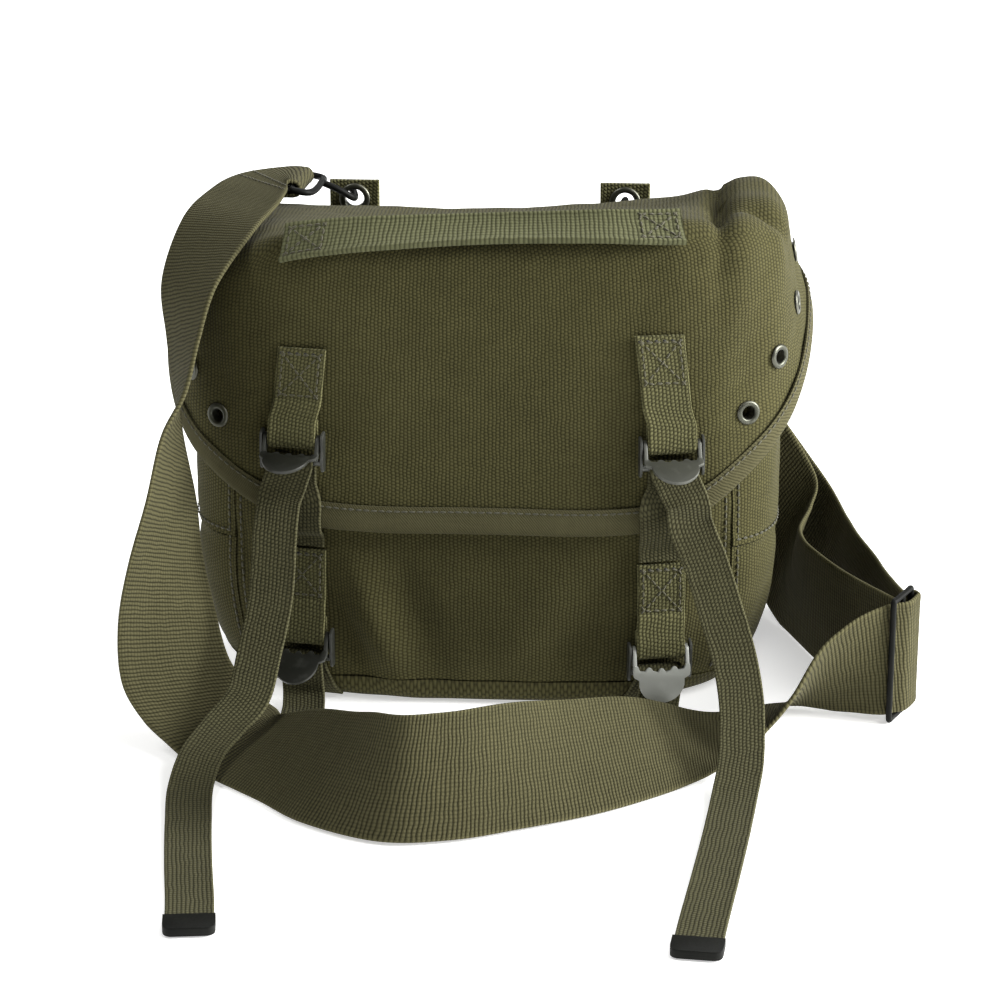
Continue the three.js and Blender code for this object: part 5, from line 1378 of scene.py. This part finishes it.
# %% Back tabs
TAB_X, TAB_Y, TAB_LOW, TAB_HIGH = {"left": -63.0, "right": 56.6}, 67.0, 145.0, 195.5
TAB_EYE, TAB_HOLE, TAB_WIDTH, TAB_THICK = 187.5, 4.9, 22.0, 2.6
tab_places, tab_lines = {}, {}
for side in SIDES:
    middle = np.linspace((TAB_X[side], TAB_Y, TAB_LOW), (TAB_X[side], TAB_Y, TAB_HIGH), 60)
    tab_lines[side] = (middle, np.broadcast_to((1.0, 0, 0), middle.shape))
    tab_places[side] = place_from((1, 0, 0), (0, 0, 1), (0, -1, 0), (TAB_X[side], TAB_Y, TAB_EYE))
    # the tabs take the lighter webbing as painted light, since they stand in the shade under the top
    tab = strap_piece(f"back_tab_{side}_webbing", *tab_lines[side], TAB_WIDTH, TAB_THICK, LIGHTER_WEB)
    cut_holes(tab, [tab_places[side]], TAB_HOLE, sides=24)
    sew_on(tab, "webbing", f"back_tab_{side}")
print("tabs:", sorted(tab_places))

# %% [markdown]
# ## Eyelets
#
# An eyelet has a rolled rim outside, a barrel through the cloth and a flat washer inside. One is turned on
# the lathe, and Geometry Nodes set a copy on every point of a small mesh, turned to that point's own normal.
# Copies by hand would do for ten, but the tree also serves a hundred.

# %% Helpers for trees
def new_tree(name, inputs):
    """A Geometry Nodes tree with a mesh in, a mesh out and named inputs for its sizes."""
    tree = bpy.data.node_groups.new(name, "GeometryNodeTree")
    tree.interface.new_socket("Geometry", in_out="INPUT", socket_type="NodeSocketGeometry")
    tree.interface.new_socket("Geometry", in_out="OUTPUT", socket_type="NodeSocketGeometry")
    for label, kind in inputs:
        tree.interface.new_socket(label, in_out="INPUT", socket_type=kind)
    return tree, add_node(tree, "NodeGroupInput").outputs


def grow(tree, points, out, edges, values, name):
    """Runs a tree on points with their normals and keeps the result as a plain mesh."""
    mesh = bpy.data.meshes.new(name)
    mesh.from_pydata((np.asarray(points) * MM).tolist(), edges, [])
    normals = mesh.attributes.new("out", "FLOAT_VECTOR", "POINT")
    normals.data.foreach_set("vector", np.asarray(out, np.float32).ravel())
    made = bpy.data.objects.new(name, mesh)
    bpy.context.scene.collection.objects.link(made)
    modifier = made.modifiers.new(name, "NODES")
    modifier.node_group = tree
    for socket in tree.interface.items_tree:
        if socket.in_out == "INPUT" and socket.name in values:
            modifier[socket.identifier] = values[socket.name]
    bpy.context.view_layer.update()
    return settle(made)


def finish_tree(tree, points, instance, rotation, finish):
    """Ends a tree: a copy on every point, made real, smooth and with its finish."""
    copies = add_node(tree, "GeometryNodeInstanceOnPoints", {"Points": points, "Instance": instance,
                                                             "Rotation": rotation})
    real = add_node(tree, "GeometryNodeRealizeInstances", {0: copies.outputs[0]})
    smooth = add_node(tree, "GeometryNodeSetShadeSmooth", {0: real.outputs[0]})
    done = add_node(tree, "GeometryNodeSetMaterial", {"Geometry": smooth.outputs[0], "Material": finish})
    add_node(tree, "NodeGroupOutput", {0: done.outputs[0]})


print("trees so far:", len(bpy.data.node_groups))

# %% Eyelet tree
tree, given = new_tree("eyelets_on_points", (
    ("Eyelet", "NodeSocketObject"), ("Finish", "NodeSocketMaterial")))
pattern = add_node(tree, "GeometryNodeObjectInfo", {"Object": given["Eyelet"]})
normal = add_node(tree, "GeometryNodeInputNamedAttribute", {"Name": "out"}, data_type="FLOAT_VECTOR")
facing = add_node(tree, "FunctionNodeAlignRotationToVector", {"Vector": normal.outputs[0]}, axis="Z")
finish_tree(tree, given["Geometry"], pattern.outputs["Geometry"], facing.outputs[0], given["Finish"])
eyelet_tree = tree
print("eyelet tree:", len(eyelet_tree.nodes), "nodes")

# %% Eyelets
EYELET_SIDES = 28
WASHER, RIM_FLAT = 0.6, 0.62  # thickness of the washer, and how flat the rim is rolled


def eyelet_profile(hole, barrel, outer, inner, front, behind):
    """Radius and height round the section: hole, rolled rim, barrel and the washer behind."""
    rim = arc((hole + outer) / 2, front - 0.1, (outer - hole) / 2, 180, 0, 9)
    rim = [(r, front + (h - front) * RIM_FLAT) for r, h in rim]
    return [(hole, -behind - WASHER), *rim, (barrel, front - 0.2), (barrel, -behind), (inner, -behind),
            (inner - 0.3, -behind - WASHER)]


def set_eyelets(name, profile, places, nodes):
    pattern = make_piece("eyelet_pattern", *lathe(profile, EYELET_SIDES), BRASS, smooth_angle=70.0)
    points, out = [p[:3, 3] for p in places], [p[:3, 2] for p in places]
    made = grow(eyelet_tree, points, out, [], {"Eyelet": pattern, "Finish": BRASS}, name)
    bpy.data.objects.remove(pattern)
    return sew_on(made, "metal", *nodes)


small = eyelet_profile(hole=2.75, barrel=3.35, outer=5.2, inner=4.5, front=FLAP_THICK / 2 + GAP + 0.25,
                       behind=FLAP_THICK / 2 + 1.2)
set_eyelets("flap_eyelets", small, eyelet_places, eyelet_names)
large = eyelet_profile(hole=4.2, barrel=4.75, outer=6.9, inner=6.4, front=TAB_THICK / 2 + GAP,
                       behind=TAB_THICK / 2 + GAP)
set_eyelets("tab_eyelets", large, list(tab_places.values()), [f"tab_eyelet_{side}" for side in tab_places])
print("eyelets:", len(eyelet_names) + len(tab_places))

# %% [markdown]
# ## Stitches
#
# A seam is one thread that dips in and out, so on top it is a row of short rounded beads with small gaps. A
# tree resamples each seam line at the stitch pitch and sets a squashed bead on every point, turned along the
# line and laid on the cloth. A bump in the material would look flat from the side. A stitch is about 3 mm
# long with a thread of half a millimetre; it is drawn a little thicker, 0.9 mm, because a thinner one would
# vanish between the pixels.

# %% Stitch tree
PITCH, STITCH, THREAD_THICK = 3.2, 2.6, 0.9
tree, given = new_tree("stitches_on_lines", (
    ("Pitch", "NodeSocketFloat"), ("Length", "NodeSocketFloat"), ("Thickness", "NodeSocketFloat"),
    ("Finish", "NodeSocketMaterial")))
seam_line = add_node(tree, "GeometryNodeMeshToCurve", {0: given["Geometry"]})
spots = add_node(tree, "GeometryNodeResampleCurve", {"Curve": seam_line.outputs[0], "Length": given["Pitch"]},
                 mode="LENGTH")
bead = add_node(tree, "GeometryNodeMeshUVSphere", {"Segments": 6, "Rings": 5, "Radius": 0.5})
size = add_node(tree, "ShaderNodeCombineXYZ", {"X": given["Thickness"], "Y": given["Thickness"],
                                               "Z": given["Length"]})
stitch = add_node(tree, "GeometryNodeTransform", {"Geometry": bead.outputs["Mesh"], "Scale": size.outputs[0]})
tangent = add_node(tree, "GeometryNodeInputTangent")
along = add_node(tree, "FunctionNodeAlignRotationToVector", {"Vector": tangent.outputs[0]}, axis="Z")
normal = add_node(tree, "GeometryNodeInputNamedAttribute", {"Name": "out"}, data_type="FLOAT_VECTOR")
laid = add_node(tree, "FunctionNodeAlignRotationToVector", {
    "Rotation": along.outputs[0], "Vector": normal.outputs[0]}, axis="X", pivot_axis="Z")
finish_tree(tree, spots.outputs[0], stitch.outputs[0], laid.outputs[0], given["Finish"])
stitch_tree = tree
print("stitch tree:", len(stitch_tree.nodes), "nodes")

# %% Seam lines
STITCH_LIFT = 0.12  # how far the middle of a stitch lies off the cloth
BODY_CORE = (0, 0, 90)  # a point inside the body: stitches lie on the side away from it


def sew(name, lines, finish=THREAD, length=STITCH):
    """Stitches along lines of points and normals, as one piece."""
    points, out, edges, start = [], [], [], 0
    for p, n in lines:
        points.append(p)
        out.append(n)
        edges += [(start + i, start + i + 1) for i in range(len(p) - 1)]
        start += len(p)
    values = {"Pitch": PITCH * MM, "Length": length * MM, "Thickness": THREAD_THICK * MM, "Finish": finish}
    made = grow(stitch_tree, np.concatenate(points), np.concatenate(out), edges, values, name)
    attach(made, "root")
    print(f"{name}: {len(made.data.polygons)} faces")
    return made


def wall_line(s, z, off):
    s, z = np.broadcast_arrays(np.asarray(s, float), np.asarray(z, float))
    return wall(s, z, off), wall_normal(s, z)


def strap_line(line, corners, lift):
    """A path over webbing, given as distances along and across it."""
    middle, across = line
    run = run_length(middle)
    path = np.concatenate([np.linspace(a, b, 12) for a, b in zip(corners[:-1], corners[1:])])

    def at(rows):
        return np.stack([np.interp(path[:, 0], run, rows[:, i]) for i in range(3)], -1)

    p, wide = at(middle), unit(at(across))
    face = unit(at(np.cross(np.gradient(middle, axis=0), across)))
    face = np.where((face * (p - BODY_CORE)).sum(-1, keepdims=True) < 0, -face, face)
    return p + wide * path[:, 1:] + face * lift, face


def box_lines(line, start, end, half, lift):
    """A box with a cross in it, as on every load-bearing joint."""
    box = [(start, -half), (start, half), (end, half), (end, -half), (start, -half)]
    return [strap_line(line, np.array(c, float), lift) for c in (
        box, [(start, -half), (end, half)], [(start, half), (end, -half)])]


print("a stitch every", PITCH, "mm")

# %% Stitches on the flap and the body
SEAM_ROW, TAPE_ROW = 3.0, 1.9  # a row of stitches lies this far beside its seam, or in from the tape's edge
SEAM_TOP, SEAM_UNDER_FLAP, LAP_OFF = 160.0, 12.0, 0.75
ring_s = np.linspace(-HALF_ROUND, HALF_ROUND, 500)
sew("flap_stitches", [beside_edge(ring_s, BINDING - TAPE_ROW, TAPE_OFF + TAPE_THICK / 2 + STITCH_LIFT)])
body_lines = []
for k in SIDES.values():
    for seam in (SEAM_CORNER - SEAM_ROW, SEAM_CORNER + SEAM_ROW, SEAM_BACK - SEAM_ROW, SEAM_BACK + SEAM_ROW):
        top = min(float(hem_z(seam)) + SEAM_UNDER_FLAP, SEAM_TOP)
        body_lines.append(wall_line(k * seam, np.linspace(BASE_SEAM + 4, top, 90), 0.0))
    s = k * np.linspace(SEAM_CORNER + SEAM_ROW, SEAM_BACK - SEAM_ROW, 90)
    body_lines.append(wall_line(s, SIDE_SEAM + SEAM_ROW, LAP_OFF))
sew("body_stitches", body_lines)

# %% Stitches on the webbing
# sewn boxes: from and to, along the webbing from its end, and how far in from its edges
CHAPE_BOX, HANDLE_BOX, TAB_BOX = (2.6, 20.5, 2.4), (2.4, 17.0, 2.6), (2.5, 20.0, 2.6)
BOX_LIFT, HOLE_SINK = 0.1, 0.1
HOLE_ROW, HOLE_ASIDE, HOLE_LONG = 2.0, 1.6, 1.5
HOOK_ROWS, HOOK_ROW_HALF, HOOK_FOLD = (44.0, 52.0), 22.0, 160
web_lines, hole_lines = [], []
for line in chape_lines.values():
    start, end, aside = CHAPE_BOX
    web_lines += box_lines(line, start, end, CHAPE_WIDTH / 2 - aside, WEB_THICK / 2 + STITCH_LIFT)
    half = CHAPE_WIDTH / 2 - HOLE_ASIDE
    row = np.array([(HOLE_ROW, -half), (HOLE_ROW, half)])
    hole_lines.append(strap_line(line, row, WEB_THICK / 2 - HOLE_SINK))
# the needle holes are dark dashes sunk in the webbing, painted shade inside the holes
sew("needle_holes", hole_lines, NEEDLE_HOLE_SHADE, HOLE_LONG)
handle_run = run_length(handle_middle)[-1]
near, far, aside = HANDLE_BOX
for start, end in ((near, far), (handle_run - far, handle_run - near)):
    web_lines += box_lines((handle_middle, handle_across), start, end, HANDLE_WIDTH / 2 - aside,
                           HANDLE_THICK / 2 + BOX_LIFT)
hook_fold = (shoulder_middle[:HOOK_FOLD], shoulder_across[:HOOK_FOLD])
for at in HOOK_ROWS:
    row = np.array([(at, -HOOK_ROW_HALF), (at, HOOK_ROW_HALF)])
    web_lines.append(strap_line(hook_fold, row, SHOULDER_THICK / 2 + STITCH_LIFT))
for line in tab_lines.values():
    start, end, aside = TAB_BOX
    web_lines += box_lines(line, start, end, TAB_WIDTH / 2 - aside, TAB_THICK / 2 + BOX_LIFT)
sew("webbing_stitches", web_lines, WEB_THREAD)

# %% [markdown]
# ## The straps on the body
#
# The shoulder strap and the two closure straps are hung on the root body, and their solids are hidden.


sew_on(shoulder, "webbing", "shoulder_strap")
for side in SIDES:
    middle = closure_lines[side][0]
    sew_on(closure[side], "webbing", f"closure_strap_{side}")
print("declared:", 1 + len(closure), "straps and the flap")

# %% [markdown]
# ## Floor and light
#
# A plain pale table and soft studio light. The picture is lit from the right: a low lamp rakes across the
# weave and a high one lights the front. A lamp behind the table keeps the background white, a weak one on
# the left lifts the strap, and the table glows a little like a lit light box, which softens the shadows.

# %% Floor
FLOOR_HALF, FLOOR_DROP, FLOOR_GLOW = 6000.0, 0.2, 0.5
floor_finish, tree = new_finish("pale_table")
place = add_node(tree, "ShaderNodeTexCoord").outputs["Object"]
speck = add_node(tree, "ShaderNodeTexNoise", {"Vector": place, "Scale": 6.0, "Detail": 3.0})
pale = add_node(tree, "ShaderNodeMix", {
    "Factor": speck.outputs[0], 6: swatch("#f3f3f1"), 7: swatch("#f7f7f5")}, data_type="RGBA")
shader = add_node(tree, "ShaderNodeBsdfPrincipled", {
    "Base Color": pale.outputs[2], "Roughness": 0.8, "Emission Color": swatch("#ffffff"),
    "Emission Strength": FLOOR_GLOW})
add_node(tree, "ShaderNodeOutputMaterial", {"Surface": shader.outputs[0]})
floor_corners = [(x * FLOOR_HALF, y * FLOOR_HALF, -FLOOR_DROP)
                 for x, y in ((-1, -1), (1, -1), (1, 1), (-1, 1))]
floor = make_piece("table_top", floor_corners, [[0, 1, 2, 3]], floor_finish)
print("table:", 2 * FLOOR_HALF * MM, "m across")

# %% Light
WORLD_LIGHT = 0.1
world = bpy.data.worlds.new("studio")
world.use_nodes = True
bpy.context.scene.world = world
background = world.node_tree.nodes["Background"].inputs
background["Color"].default_value = swatch("#ffffff")
background["Strength"].default_value = WORLD_LIGHT
# place, aim, size in metres, power in watts
LAMPS = {
    "side": ((2.7, -0.15, 0.95), (0.0, -0.02, 0.10), 1.2, 182.0),
    "key": ((2.3, -0.9, 2.2), (0.0, 0.0, 0.10), 1.8, 84.0),
    "rear": ((0.3, 2.4, 2.8), (0.0, 0.9, 0.0), 1.6, 70.0),
    "left": ((-1.6, -0.5, 2.4), (-0.1, 0.0, 0.15), 1.0, 30.0),
}
for name, (at, aim, size, power) in LAMPS.items():
    lamp = bpy.data.objects.new(name, bpy.data.lights.new(name, "AREA"))
    lamp.data.size = size
    lamp.data.energy = power
    lamp.location = at
    lamp.rotation_euler = (Vector(aim) - Vector(at)).to_track_quat("-Z", "Y").to_euler()
    bpy.context.scene.collection.objects.link(lamp)
print("lamps:", sorted(LAMPS))
